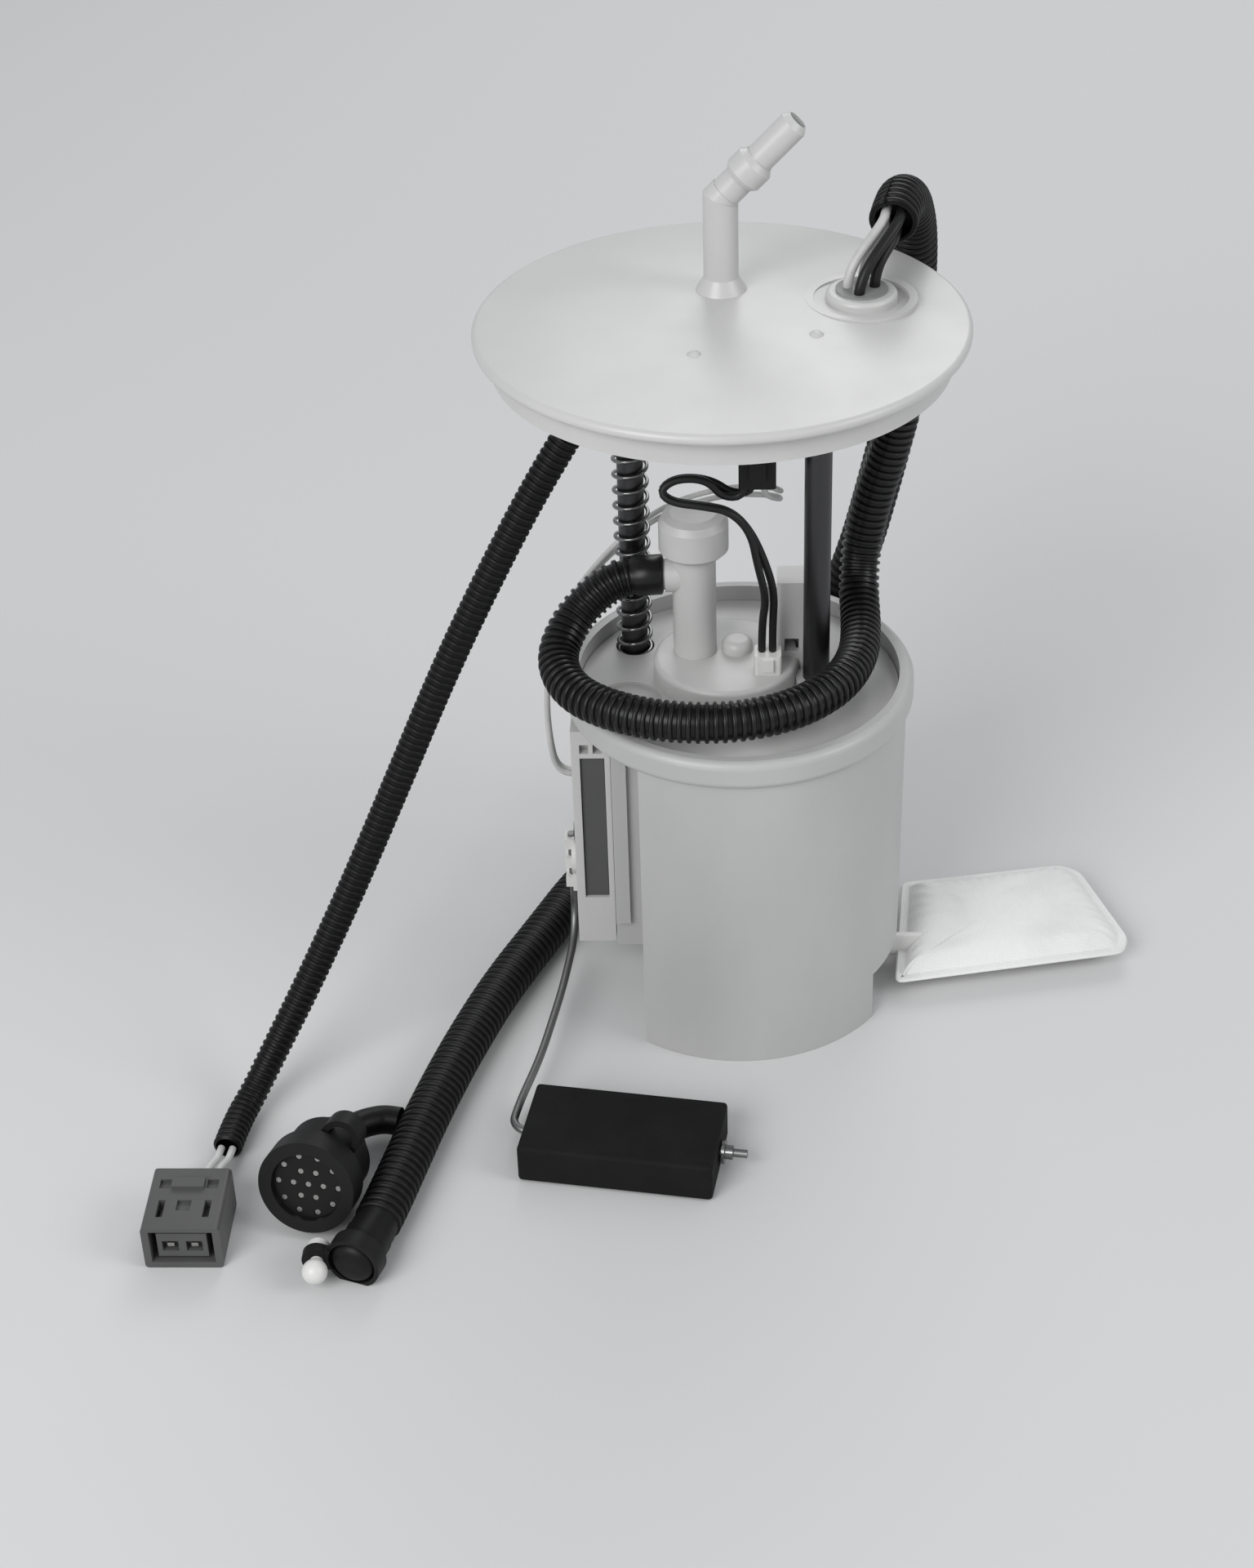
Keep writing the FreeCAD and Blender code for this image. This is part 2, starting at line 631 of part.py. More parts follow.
def strainer_bag():
    """Pleated-edge sock: a flat pillow whose far end is cut on the skew."""
    low = bag_bottom_z
    seam_z = low + (bag_thickness - bag_seam) / 2
    plan = [(bag_left_x, -18.4), (bag_left_x + 4.4, 31.0), (bag_left_x + 54.2, 39.6),
            (bag_left_x + 60.0, 36.0), (bag_left_x + 70.8, 2.6), (bag_left_x + 68.6, -4.6)]
    middle_x = bag_left_x + 33
    middle_y = 12.0
    seam = prism(plan, seam_z, bag_seam)
    inner = [(x + (middle_x - x) * 0.05, y + (middle_y - y) * 0.12) for x, y in plan]
    core = [(x + (middle_x - x) * 0.12, y + (middle_y - y) * 0.3) for x, y in plan]
    layers = [(plan, seam_z), (inner, low + 1.0), (core, low)]
    wires = []
    for outline, z in layers:
        corners = [V(x, y, z) for x, y in outline]
        wires.append(Part.makePolygon(corners + corners[:1]))
    lower = Part.makeLoft(wires, True, True)
    wires = []
    for outline, z in layers:
        corners = [V(x, y, 2 * low + bag_thickness - z) for x, y in outline]
        wires.append(Part.makePolygon(corners + corners[:1]))
    upper = Part.makeLoft(wires, True, True)
    hole = cylinder(neck_radius - 1.5 + running_gap, 14, V(bag_left_x - 4, 0, neck_z), TO_RIGHT)
    return fused(seam, lower, upper).cut(hole)


def strainer_neck():
    """Elbow that carries suction from the sock, through the notch, up to the pump."""
    inner_radius = neck_radius - 1.5
    route = [V(bag_left_x + 9, 0, neck_z), V(pump_x + 14, 0, neck_z),
             V(pump_x + 4.5, pump_y - 2.5, neck_z + 1.5), V(pump_x, pump_y, neck_z + 7),
             V(pump_x, pump_y, pump_bottom_z - 2)]
    body = tube("strainer_neck", route, inner_radius, inner_radius - 1.2)
    collar = pipe_piece(neck_radius, inner_radius - 0.2, 7,
                        V(notch_x - 2 * wall, 0, neck_z), TO_RIGHT)
    stop = pipe_piece(neck_radius + 1.4, inner_radius - 0.2, 1.6,
                      V(notch_x + running_gap, 0, neck_z), TO_RIGHT)
    return fused(body, collar, stop).cut(
        cylinder(neck_radius - 1.6 + running_gap, 12, pump_mid + V(0, 0, pump_bottom_z - 6.5)))


def sender_body():
    """Moulded slide of the level sender, open at the front, clipped between the cup's rails."""
    low = (sender_left_x, sender_front_y, sender_bottom_z)
    high = (sender_right_x, sender_back_y, sender_top_z)
    body = block(low, high)
    window = block((sender_left_x + 2.4, sender_front_y - 1, sender_bottom_z + 16),
                   (sender_right_x - 1.6, sender_front_y + 7, sender_top_z - 9))
    back_pocket = block((sender_left_x + 3.2, sender_front_y + 9, sender_bottom_z + 20),
                        (sender_right_x + 1, sender_back_y - 2, sender_top_z - 6))
    card_seat = block((sender_left_x - 1, sender_front_y + 1.5, sender_bottom_z + card_foot),
                      (sender_left_x + card_thickness, sender_back_y - 1.5, sender_top_z - card_drop))
    # Two square sockets for the test probes are open above the window.
    probes = [block((x, sender_front_y - 1, sender_top_z - 7.5),
                    (x + 2.6, sender_front_y + 3, sender_top_z - 4.5))
              for x in (sender_left_x + 2.4, sender_left_x + 6.2)]
    body = body.cut(window).cut(back_pocket).cut(card_seat).cut(Part.makeCompound(probes))
    pivot = V(sender_left_x - 1, pivot_y, pivot_z)
    body = body.cut(cylinder(pivot_radius + running_gap, 9, pivot, TO_RIGHT))
    stop = block((sender_left_x - 2.2, pivot_y + 4.5, pivot_z - 9),
                 (sender_left_x + 1, pivot_y + 7, pivot_z - 5.5))
    return fused(body, stop)


def resistor_card():
    return block((sender_left_x, sender_front_y + 1.7, sender_bottom_z + card_foot + 0.2),
                 (sender_left_x + card_thickness, sender_back_y - 1.7, sender_top_z - card_drop - 0.2))


def card_terminals():
    """Three rivets on the card that take the sender's leads."""
    rivets = []
    for y in (7.4, 9.8):
        rivets.append(cylinder(0.9, 0.9, V(sender_left_x - 0.9, y, terminal_z), TO_RIGHT))
    return Part.makeCompound(rivets)


def sender_insert():
    """Grey terminal block in the sender's front window."""
    return block((sender_left_x + 2.6, sender_front_y + 1.0, sender_bottom_z + 16.2),
                 (sender_right_x - 1.8, sender_front_y + 6.8, sender_top_z - 9.2))


def arm_holder():
    """Plastic carrier on the pivot that grips the arm wire and the wiper."""
    face_x = sender_left_x - loose_gap
    pin = cylinder(pivot_radius, 7, V(face_x - 1, pivot_y, pivot_z), TO_RIGHT)
    disc = cylinder(6.4, 1.6, V(face_x - 1.6, pivot_y, pivot_z), TO_RIGHT)
    tail = block((face_x - 1.6, pivot_y - 3.2, pivot_z - 12), (face_x, pivot_y + 3.2, pivot_z))
    grips = []
    for z in (pivot_z + 4.4, pivot_z - 2.4, pivot_z - 9.2):
        grips.append(block((arm_plane_x - 2.0, pivot_y - 2.6, z - 1.7),
                           (face_x - 1, pivot_y + 2.6, z + 1.7)))
    holder = fused(pin, disc, tail, *grips)
    groove = cylinder(arm_wire_radius, 40, V(arm_plane_x, pivot_y, pivot_z - 30))
    return holder.cut(groove).cut(wiper_contact())


def wiper_contact():
    """Sprung metal wiper that runs on the card; it leans forward at rest."""
    leaf = Part.makeBox(0.4, 4.0, wiper_length - 4.2, V(sender_left_x - 0.55, -2.0, 4.2))
    leaf.Placement = FreeCAD.Placement(V(0, pivot_y, pivot_z), FreeCAD.Rotation(TO_RIGHT, wiper_lean))
    return leaf


def float_frame():
    turn = FreeCAD.Rotation(UP, float_turn)
    return FreeCAD.Placement(V(float_centre_x, float_centre_y, float_axis_z), turn)


def float_arm_wire():
    frame = float_frame()
    left = frame.multVec(V(-float_length / 2 - 4.8, 0, 0))
    bend = frame.multVec(V(-float_length / 2 - 4.8, 9, 0))
    right = frame.multVec(V(float_length / 2 + 7.5, 0, 0))
    route = [V(arm_plane_x, pivot_y, pivot_z + 7), V(arm_plane_x, pivot_y, pivot_z - 22),
             V(arm_plane_x - 0.4, pivot_y - 7, 10.6), V(arm_plane_x - 2.8, pivot_y - 27, 8.8),
             V(arm_plane_x - 7.6, pivot_y - 57, 8.2), bend + V(0.4, 2, 0.2), left, right]
    return tube("float_arm_wire", route, arm_wire_radius)


def level_float():
    frame = float_frame()
    half = float_thickness / 2
    body = Part.makeBox(float_length, float_depth, float_thickness,
                        V(-float_length / 2, -float_depth / 2, -half + 0.1))
    body = body.makeFillet(1.2, body.Edges)
    end = V(-float_length / 2 - 1, 0, 0)
    body = body.cut(cylinder(arm_wire_radius + 0.1, float_length + 2, end, TO_RIGHT))
    body.Placement = frame
    return body


def float_clip():
    """Push-on retainer at the wire's free end."""
    frame = float_frame()
    washer = pipe_piece(float_clip_radius, arm_wire_radius, 0.8, V(float_length / 2 + 0.6, 0, 0), TO_RIGHT)
    hub = pipe_piece(2.0, arm_wire_radius, 2.4, V(float_length / 2 + 1.2, 0, 0), TO_RIGHT)
    clip = fused(washer, hub)
    clip.Placement = frame
    return clip


def crown_arc(radius, rise, low_z):
    """Arc of a spherical crown, from the axis out to its edge at low_z."""
    sphere = (radius ** 2 + rise ** 2) / (2 * rise)
    centre_z = low_z + rise - sphere
    middle = V(radius / 2, 0, centre_z + math.sqrt(sphere ** 2 - radius ** 2 / 4))
    return Part.Arc(V(0, 0, low_z + rise), middle, V(radius, 0, low_z)).toShape()


def domed_disc():
    """Body of the flange: domed skin, rounded rim and the locating skirt."""
    skirt_inner = skirt_radius - skirt_wall
    rim_low = flange_rim_z - rim_thickness
    round_edge = rim_thickness / 2
    top_edge = V(flange_radius - round_edge, 0, flange_rim_z)
    low_edge = V(flange_radius - round_edge, 0, rim_low)
    corners = [low_edge, V(skirt_radius, 0, rim_low), V(skirt_radius, 0, skirt_bottom_z),
               V(skirt_inner, 0, skirt_bottom_z), V(skirt_inner, 0, underside_z)]
    edges = [crown_arc(flange_radius - round_edge, flange_dome, flange_rim_z),
             Part.Arc(top_edge, V(flange_radius, 0, flange_rim_z - round_edge), low_edge).toShape()]
    edges += [Part.LineSegment(a, b).toShape() for a, b in zip(corners, corners[1:])]
    edges += [crown_arc(skirt_inner, flange_dome, underside_z),
              Part.LineSegment(V(0, 0, underside_z + flange_dome), V(0, 0, flange_apex_z)).toShape()]
    outline = Part.Wire(Part.__sortEdges__(edges))
    shape = Part.Face(outline).revolve(V(0, 0, 0), UP, 360)
    shape.translate(V(flange_x, 0, 0))
    return shape


def spigot_direction():
    angle = math.radians(spigot_angle)
    return V(math.cos(angle), 0, math.sin(angle))


def flange_cover():
    body = domed_disc()
    centre = V(flange_x, spigot_y, 0)
    foot_z = flange_rim_z + 1
    along = spigot_direction()
    bend = centre + V(0, 0, spigot_bend_z)

    # Outlet spigot: upright stem, mitred elbow and the angled quick-connect end.
    stem = cylinder(spigot_stem_radius, spigot_bend_z - foot_z + 6, centre + V(0, 0, foot_z))
    flare = Part.makeCone(spigot_stem_radius + 3.2, spigot_stem_radius, 5.5, centre + V(0, 0, foot_z))
    mitre = Part.makeBox(60, 60, 60, V(-30, -30, 0))
    half_way = (UP + along).normalize()
    mitre.Placement = FreeCAD.Placement(bend, FreeCAD.Rotation(UP, half_way))
    arm = cylinder(spigot_tube_radius + 0.3, 10, bend - along * 8, along)
    arm = arm.common(mitre)
    stem = stem.cut(mitre)
    tip_start = spigot_length - spigot_tip_length
    reach = cylinder(spigot_tube_radius, tip_start, bend, along)
    tip = turned([(0, 0), (spigot_tip_radius, 0), (spigot_tip_radius, spigot_tip_length - 1.6),
                  (spigot_tip_radius - 1.2, spigot_tip_length), (0, spigot_tip_length)],
                 bend + along * tip_start, along)
    bead = turned([(0, -spigot_bead_length), (spigot_tube_radius, -spigot_bead_length),
                   (spigot_bead_radius, -spigot_bead_length + 1.6), (spigot_bead_radius, -1.6),
                   (spigot_tip_radius, 0), (0, 0)], bend + along * tip_start, along)

    # Raised ring and boss where the wires pass through.
    boss_centre = V(boss_x, boss_y, flange_rim_z - 1)
    ring = pipe_piece(boss_ring_radius, boss_ring_radius - 2.2, 3.6, boss_centre)
    boss = cylinder(boss_radius, seal_top_z - 0.6 - boss_centre.z, boss_centre)
    boss = boss.makeFillet(1.2, edges_near(boss, lambda b: b.ZMin > seal_top_z - 0.7))
    gate_marks = [Part.makeSphere(2.4, V(x, y, flange_apex_z - 2.0))
                  for x, y in ((-10.8, -25.0), (20.2, -14.1))]

    # Sockets for the rods, the header shroud, the outlet elbow and the loom outlet below.
    sockets = []
    for x, y in ((left_rod_x, left_rod_y), (right_rod_x, right_rod_y)):
        foot = V(x, y, socket_bottom_z)
        sockets.append(cylinder(rod_radius + socket_wall, root_z - socket_bottom_z, foot))
    header = block((header_x - header_width / 2, header_y - header_depth / 2, header_bottom_z),
                   (header_x + header_width / 2, header_y + header_depth / 2, root_z))
    drop = cylinder(elbow_radius, root_z - (elbow_z - elbow_radius),
                    centre + V(0, 0, elbow_z - elbow_radius))
    nipple = cylinder(nipple_radius, elbow_reach, centre + V(0, 0, elbow_z), TO_RIGHT)
    barbs = [Part.makeCone(nipple_radius, nipple_radius + barb_rise, 2.0,
                           centre + V(elbow_reach - back, 0, elbow_z), TO_LEFT) for back in (1.0, 4.0)]
    loom_way = small_loom_direction()
    loom_foot = V(outlet_x, outlet_y, outlet_z)
    outlet = cylinder(small_loom_radius + 1.6, 13, loom_foot, loom_way * -1)
    outlet = outlet.common(cylinder(skirt_radius, 100, V(flange_x, 0, underside_z + 1.2 - 100)))
    ribs = []
    for angle in (20, 65, 110, 160, 205, 250, 295, 340):
        rib = Part.makeBox(skirt_radius - skirt_wall - 24, 1.6, 6.2, V(24.5, -0.8, underside_z - 3.5))
        rib.Placement = FreeCAD.Placement(V(flange_x, 0, 0), FreeCAD.Rotation(UP, angle))
        ribs.append(rib)
    hoop = pipe_piece(26.0, 24.4, 6.2, V(flange_x, 0, underside_z - 3.5))

    body = fused(body, stem, arm, reach, tip, bead, flare, ring, boss, header, drop, nipple, outlet, hoop,
                 *gate_marks, *sockets, *barbs, *ribs)

    # Bores: fuel way, rod sockets, header cavity and the wire well.
    fuel_way = cylinder(spigot_bore, spigot_bend_z - elbow_z, centre + V(0, 0, elbow_z))
    fuel_way = fuel_way.fuse(cylinder(spigot_bore, spigot_length + 2, bend, along))
    fuel_way = fuel_way.fuse(Part.makeSphere(spigot_bore, bend))
    fuel_way = fuel_way.fuse(cylinder(spigot_bore, elbow_reach + 1, centre + V(0, 0, elbow_z), TO_RIGHT))
    fuel_way = fuel_way.fuse(Part.makeSphere(spigot_bore, centre + V(0, 0, elbow_z)))
    body = body.cut(fuel_way)
    for x, y in ((left_rod_x, left_rod_y), (right_rod_x, right_rod_y)):
        body = body.cut(cylinder(rod_radius, socket_depth - 2, V(x, y, socket_bottom_z)))
    cavity = block((header_x - header_width / 2 + 1.2, header_y - header_depth / 2 + 1.2,
                    header_bottom_z - 1),
                   (header_x + header_width / 2 - 1.2, header_y + header_depth / 2 - 1.2, underside_z - 2))
    well = cylinder(seal_radius, 30, V(boss_x, boss_y, underside_z - 2))
    return body.cut(cavity).cut(well)


def pass_through_seal():
    """Potting that seals the wires in the boss."""
    low = flange_rim_z - 1
    return cylinder(seal_radius, seal_top_z - low, V(boss_x, boss_y, low))


def header_pins():
    pins = []
    for x in (header_x - 2, header_x + 2):
        for y in (header_y - 4.5, header_y, header_y + 4.5):
            pins.append(block((x - 0.4, y - 0.4, underside_z - 12), (x + 0.4, y + 0.4, underside_z - 2)))
    return Part.makeCompound(pins)


def inner_plug():
    """Plug on the tank side of the flange, seated in the header."""
    low = (header_x - inner_plug_width / 2, header_y - inner_plug_depth / 2, inner_plug_bottom_z)
    high = (header_x + inner_plug_width / 2, header_y + inner_plug_depth / 2, underside_z - 6)
    body = block(low, high)
    body = body.makeFillet(0.8, edges_near(body, lambda b: b.ZLength > 10))
    latch = block((header_x - 2.2, low[1] - 1.6, inner_plug_bottom_z + 3),
                  (header_x + 2.2, low[1] + overlap, header_bottom_z - 2))
    body = fused(body, latch)
    for x in (header_x - 2, header_x + 2):
        for y in (header_y - 4.5, header_y, header_y + 4.5):
            body = body.cut(block((x - 0.55, y - 0.55, underside_z - 12.5),
                                  (x + 0.55, y + 0.55, underside_z)))
    return body


def guide_rod(x, y):
    length = socket_bottom_z + socket_depth - 2 - rod_bottom_z
    rod = cylinder(rod_radius, length, V(x, y, rod_bottom_z))
    groove = pipe_piece(rod_radius + 1, rod_radius - 0.8, clip_thickness,
                        V(x, y, clip_top_z - clip_thickness))
    rod = rod.cut(groove)
    return rod.makeChamfer(0.6, edges_near(rod, lambda b: b.ZMax < rod_bottom_z + 0.01))


def rod_clips():
    """Snap rings that stop the rods from leaving their guides."""
    rings = []
    for x, y in ((left_rod_x, left_rod_y), (right_rod_x, right_rod_y)):
        ring = pipe_piece(clip_radius, rod_radius - 0.8, clip_thickness,
                          V(x, y, clip_top_z - clip_thickness))
        rings.append(ring.cut(block((x, y - 1.4, clip_top_z - 3), (x + 9, y + 1.4, clip_top_z + 1))))
    return Part.makeCompound(rings)


def return_spring():
    """Coil spring between the flange's socket and the cup's sleeve."""
    base_z = lid_bottom_z + spring_wire / 2 + loose_gap
    height = socket_bottom_z - spring_wire / 2 - base_z
    pitch = height / spring_turns
    helix = Part.makeHelix(pitch, height, spring_radius)
    half = spring_wire / 2
    corners = [V(spring_radius - half, 0, -half), V(spring_radius + half, 0, -half),
               V(spring_radius + half, 0, half), V(spring_radius - half, 0, half)]
    section = Part.makePolygon(corners + corners[:1])
    coil = Part.Wire(helix).makePipeShell([section], True, True)
    coil.translate(V(left_rod_x, left_rod_y, base_z))
    return coil


def fuel_hose():
    """Fuel hose: from the outlet housing round the cup's rim and up to the flange's elbow."""
    start = V(housing_x - nipple_reach + 5.5, housing_y, nipple_z)
    end = V(flange_x + elbow_reach - 5.5, spigot_y, elbow_z)
    route = [start, start + V(-10, 0, 0), V(-38.8, 5.5, 127.2), V(-47.0, 0.5, 120.0), V(-51.0, -9.5, 113.5),
             V(-46.0, -22.5, 111.2), V(-33.5, -32.5, 111.0), V(-17.0, -37.8, 111.0), V(0.0, -37.8, 111.0),
             V(15.5, -31.5, 111.0), V(27.5, -19.5, 111.0), V(33.5, -4.0, 111.0), V(34.5, 10.5, 112.5),
             V(34.0, 21.0, 117.5), V(34.8, 27.5, 128.0), V(38.0, 28.8, 144.0), V(43.0, 28.5, 161.0),
             V(45.5, 27.0, 175.0), V(42.5, 22.5, 186.5), V(33.5, 16.0, 190.6), end + V(10, 0, 0), end]
    return tube("fuel_hose", route, hose_radius, nipple_radius + barb_rise + running_gap)


def pump_leads():
    """Two insulated leads that hang in a hairpin from the inner plug to the pump."""
    leads = []
    for behind, drop in ((0.0, 0.0), (2.3, 0.9)):
        start = V(header_x - 3.6 + behind, header_y - 4.6 + behind, inner_plug_bottom_z)
        end = V(pump_plug_x + 2.0 + behind * 1.3, pump_plug_y + 3.2, pump_plug_top_z)
        route = [start, start + V(0, 0, -3.4), V(-4.2 + behind, -6.6 + behind, 162.6),
                 V(-7.4 + behind / 2, -6.6 + behind, 167.0 - drop), V(-12.0, -6.6 + behind, 168.4 - drop),
                 V(-17.6, -6.8 + behind, 167.8 - drop),
                 V(-21.0, -7.8 + behind, 164.9 - drop), V(-17.6, -9.2 + behind, 162.4 - drop),
                 V(-9.6, -9.8 + behind, 161.6 - drop), V(-2.0, -9.8 + behind, 160.0 - drop),
                 V(3.4, -9.4 + behind, 153.4 - drop), V(5.2 + behind, -8.4 + behind, 142.6 - drop),
                 V(7.6 + behind, -6.6 + behind, 131.2), end + V(0, 0, 9.0), end]
        leads.append(tube("pump_lead", route, 1.1))
    return Part.makeCompound(leads)


def pump_plug():
    """Two-way plug on the pump's terminals, standing on the lid."""
    body = block((pump_plug_x, pump_plug_y, pump_cap_z),
                 (pump_plug_x + pump_plug_width, pump_plug_y + pump_plug_depth, pump_plug_top_z))
    latch = block((pump_plug_x + 2.2, pump_plug_y - 1.0, pump_cap_z + 1.6),
                  (pump_plug_x + pump_plug_width - 2.2, pump_plug_y + overlap, pump_plug_top_z - 0.8))
    return fused(body.makeFillet(0.9, edges_near(body, lambda b: b.ZLength > 5)), latch)


def sender_leads():
    """Two thin leads from the inner plug round the left rod to the sender's card."""
    leads = []
    for shift in (0.0, 2.4):
        start = V(header_x + 3.5 - shift, header_y + 3.5, inner_plug_bottom_z)
        end = V(sender_left_x - 0.9, 7.4 + shift, terminal_z)
        route = [start, start + V(0, 0, -5.0 - shift), V(12.5, 8.0, 156.0 - shift),
                 V(10.0, 22.0, 150.0 - shift), V(-4.0, 30.0, 146.0 - shift),
                 V(-22.0, 33.5, 138.0 - shift), V(-37.0, 32.4 + shift / 2, 125.0 - shift),
                 V(-48.6, 25.0 + shift / 2, 113.0 - shift / 2), V(-54.0, 15.0 + shift, 102.0),
                 V(-55.4, 8.4 + shift, 89.0), V(-55.0, 7.4 + shift, 75.0), end + V(-4.6, 0, 0), end]
        leads.append(tube("sender_lead", route, 0.8))
    return Part.makeCompound(leads)


def small_loom_direction():
    first, second = small_loom_points()[:2]
    return (second - first).normalize()


def small_loom_points():
    return [V(outlet_x, outlet_y, outlet_z), V(-44.8, -21.0, 187.5),
            V(-54.6, -22.8, 171.0), V(-65.0, -26.0, 151.8),
            V(-78.5, -30.0, 125.0), V(-93.0, -35.0, 92.5), V(-107.6, -42.5, 61.0), V(-121.5, -51.5, 34.0),
            V(-131.0, -59.0, 17.5), V(-137.6, -67.5, 7.0), V(-141.4, -77.0, 4.2), V(-142.6, -88.0, 4.2)]


def small_loom():
    return tube("small_loom", small_loom_points(), small_loom_radius)


def small_loom_wires():
    """White wires between the small loom's end and its plug."""
    end = small_loom_points()[-1]
    along = (end - small_loom_points()[-2]).normalize()
    across = along.cross(UP)
    back_y = square_plug_front_y + square_plug_depth
    wires = []
    for side in (-1.6, 1.6):
        start = end + across * side
        plug_x = square_plug_x + 3.4 - side
        route = [start, start + along * 4.5, V(plug_x, back_y + 6.5, 7.0), V(plug_x, back_y - 2, 7.0)]
        wires.append(tube("small_loom_wire", route, 1.0))
    return Part.makeCompound(wires)


def square_plug():
    """Grey two-way plug: a shrouded box with a latch and keying ribs on top."""
    x0 = square_plug_x - square_plug_width / 2
    y0 = square_plug_front_y
    body = block((x0, y0, 0), (x0 + square_plug_width, y0 + square_plug_depth, square_plug_height))
    body = body.makeFillet(1.2, edges_near(body, lambda b: b.YLength > 10))
    side = square_plug_side_wall
    ceiling = square_plug_height - square_plug_top_wall
    cavity = block((x0 + side, y0 - 1, side),
                   (x0 + square_plug_width - side, y0 + square_plug_cavity, ceiling))
    body = body.cut(cavity)
    core = block((x0 + side + 1.8, y0 + 1.0, side + 1.3),
                 (x0 + square_plug_width - side - 1.8, y0 + square_plug_cavity + 1, ceiling - 1.3))
    contact_ways = [block((x - 2.2, y0, 5.2), (x + 2.2, y0 + 3.4, 8.6)) for x in contact_places()]
    core = core.cut(Part.makeCompound(contact_ways))
    body = fused(body, core)
    # Slots of the latch and the keying are open in the roof.
    slots = [block((x, y0 + 4.5, ceiling - 1), (x + 1.8, y0 + 11.0, square_plug_height + 1))
             for x in (x0 + 3.4, x0 + square_plug_width - 5.2)]
    slots.append(block((x0 + 8.4, y0 + 7.0, square_plug_height - 1.0),
                       (x0 + 12.2, y0 + 11.0, square_plug_height + 1)))
    slots += [block((x, y0 + 15.6, square_plug_height - 1.0), (x + 3.0, y0 + 19.0, square_plug_height + 1))
              for x in (x0 + 2.6, x0 + square_plug_width - 5.6)]
    body = body.cut(Part.makeCompound(slots))
    bridge = block((x0 + 6.2, y0 + 15.0, square_plug_height - overlap),
                   (x0 + 14.8, y0 + 18.6, square_plug_height + 1.2))
    body = fused(body, bridge)
    for offset in (-1.6, 1.6):
        body = body.cut(cylinder(1.1, 4, V(square_plug_x + 3.4 + offset, y0 + square_plug_depth - 2.5, 7.0),
                                 V(0, 1, 0)))
    return body.cut(square_plug_pins())


def contact_places():
    return (square_plug_x - 3.2, square_plug_x + 3.2)


def square_plug_pins():
    y0 = square_plug_front_y
    return Part.makeCompound([block((x - 0.9, y0 + 1.6, 6.3), (x + 0.9, y0 + 8, 7.5))
                              for x in contact_places()])


def loom_points():
    return [V(40.8, 18.6, 229.4), V(42.4, 26.8, 230.6), V(44.4, 36.0, 229.0), V(46.6, 45.0, 223.4),
            V(48.6, 52.6, 213.0), V(49.4, 58.0, 199.0), V(48.8, 61.2, 179.0), V(46.6, 60.6, 155.0),
            V(41.4, 60.0, 131.0), V(35.4, 60.6, 105.0), V(25.0, 62.4, 76.0), V(9.0, 64.0, 46.0),
            V(-9.0, 62.4, 20.5), V(-25.5, 57.0, 8.6), V(-40.0, 46.0, 6.6), V(-50.0, 29.0, 6.6),
            V(-59.6, 6.0, 6.6), V(-70.4, -19.0, 6.6), V(-79.4, -46.0, 6.6), V(-87.0, -74.0, 6.6),
            V(-92.2, -98.0, 6.6), V(-95.8, -114.6, 6.6), V(-98.9, -126.0, 6.6), V(-101.9, -134.6, 6.6)]


def harness_loom():
    return tube("harness_loom", loom_points(), loom_radius)


def pigtail(name, offsets, radius):
    """Wires between the flange's boss and the mouth of the loom."""
    mouth, second = loom_points()[:2]
    along = (second - mouth).normalize()
    across = along.cross(TO_FRONT).normalize()
    onward = across.cross(along).normalize()
    wires = []
    for dx, dy in offsets:
        foot = V(boss_x + dx, boss_y + dy, seal_top_z)
        goal = mouth + across * (dx * 0.75) - onward * (dy * 0.75)
        route = [foot, foot + V(0, 0, 4.5), goal - along * 3.5, goal]
        wires.append(tube(name, route, radius))
    return Part.makeCompound(wires)


def plug_placement():
    """Axis from the round plug's back to its mating face, towards the viewer and a little up."""
    rise = math.radians(plug_rise)
    turn = math.radians(plug_turn)
    along = V(-math.sin(turn) * math.cos(rise), -math.cos(turn) * math.cos(rise), math.sin(rise))
    return plug_centre, along


def round_plug_shell():
    """Shell of the round multi-way plug, open at its mating face, with a latch bridge."""
    face, along = plug_placement()
    back = face - along * plug_length
    shell = turned([(0, 0), (7.0, 0), (8.4, 1.5), (10.0, 6.0), (plug_radius - 1.8, 8.0),
                    (plug_radius - 1.8, plug_length - 9), (plug_radius, plug_length - 8),
                    (plug_radius, plug_length), (0, plug_length)], back, along)
    # The latch bridge stands on the upper right of the shell.
    side = along.cross(UP).normalize()
    lift = side.cross(along).normalize()
    lean = (lift * 0.86 - side * 0.5).normalize()
    foot = back + along * 11 + lean * (plug_radius - 3.4)
    bridge = pipe_piece(5.4, 3.6, 6.5, foot + lean * 2.4, along)
    cavity = cylinder(plug_radius - 2 * plug_wall, plug_cavity, face - along * plug_cavity, along)
    return fused(shell, bridge).cut(cavity)


def round_plug_insert():
    face, along = plug_placement()
    body = cylinder(plug_radius - 2 * plug_wall - running_gap, insert_height,
                    face - along * plug_cavity, along)
    hole_depth = 4.0
    holes = [cylinder(plug_pin_radius + 0.15, hole_depth + 1,
                      pin + along * (insert_height - hole_depth), along)
             for pin in plug_pin_places()]
    return body.cut(Part.makeCompound(holes))


def plug_pin_places():
    face, along = plug_placement()
    side = along.cross(UP).normalize()
    lift = side.cross(along).normalize()
    base = face - along * plug_cavity
    places = [base]
    for count, radius in ((6, 4.2), (10, 8.4)):
        for index in range(count):
            angle = 2 * math.pi * index / count
            places.append(base + side * radius * math.cos(angle) + lift * radius * math.sin(angle))
    return places


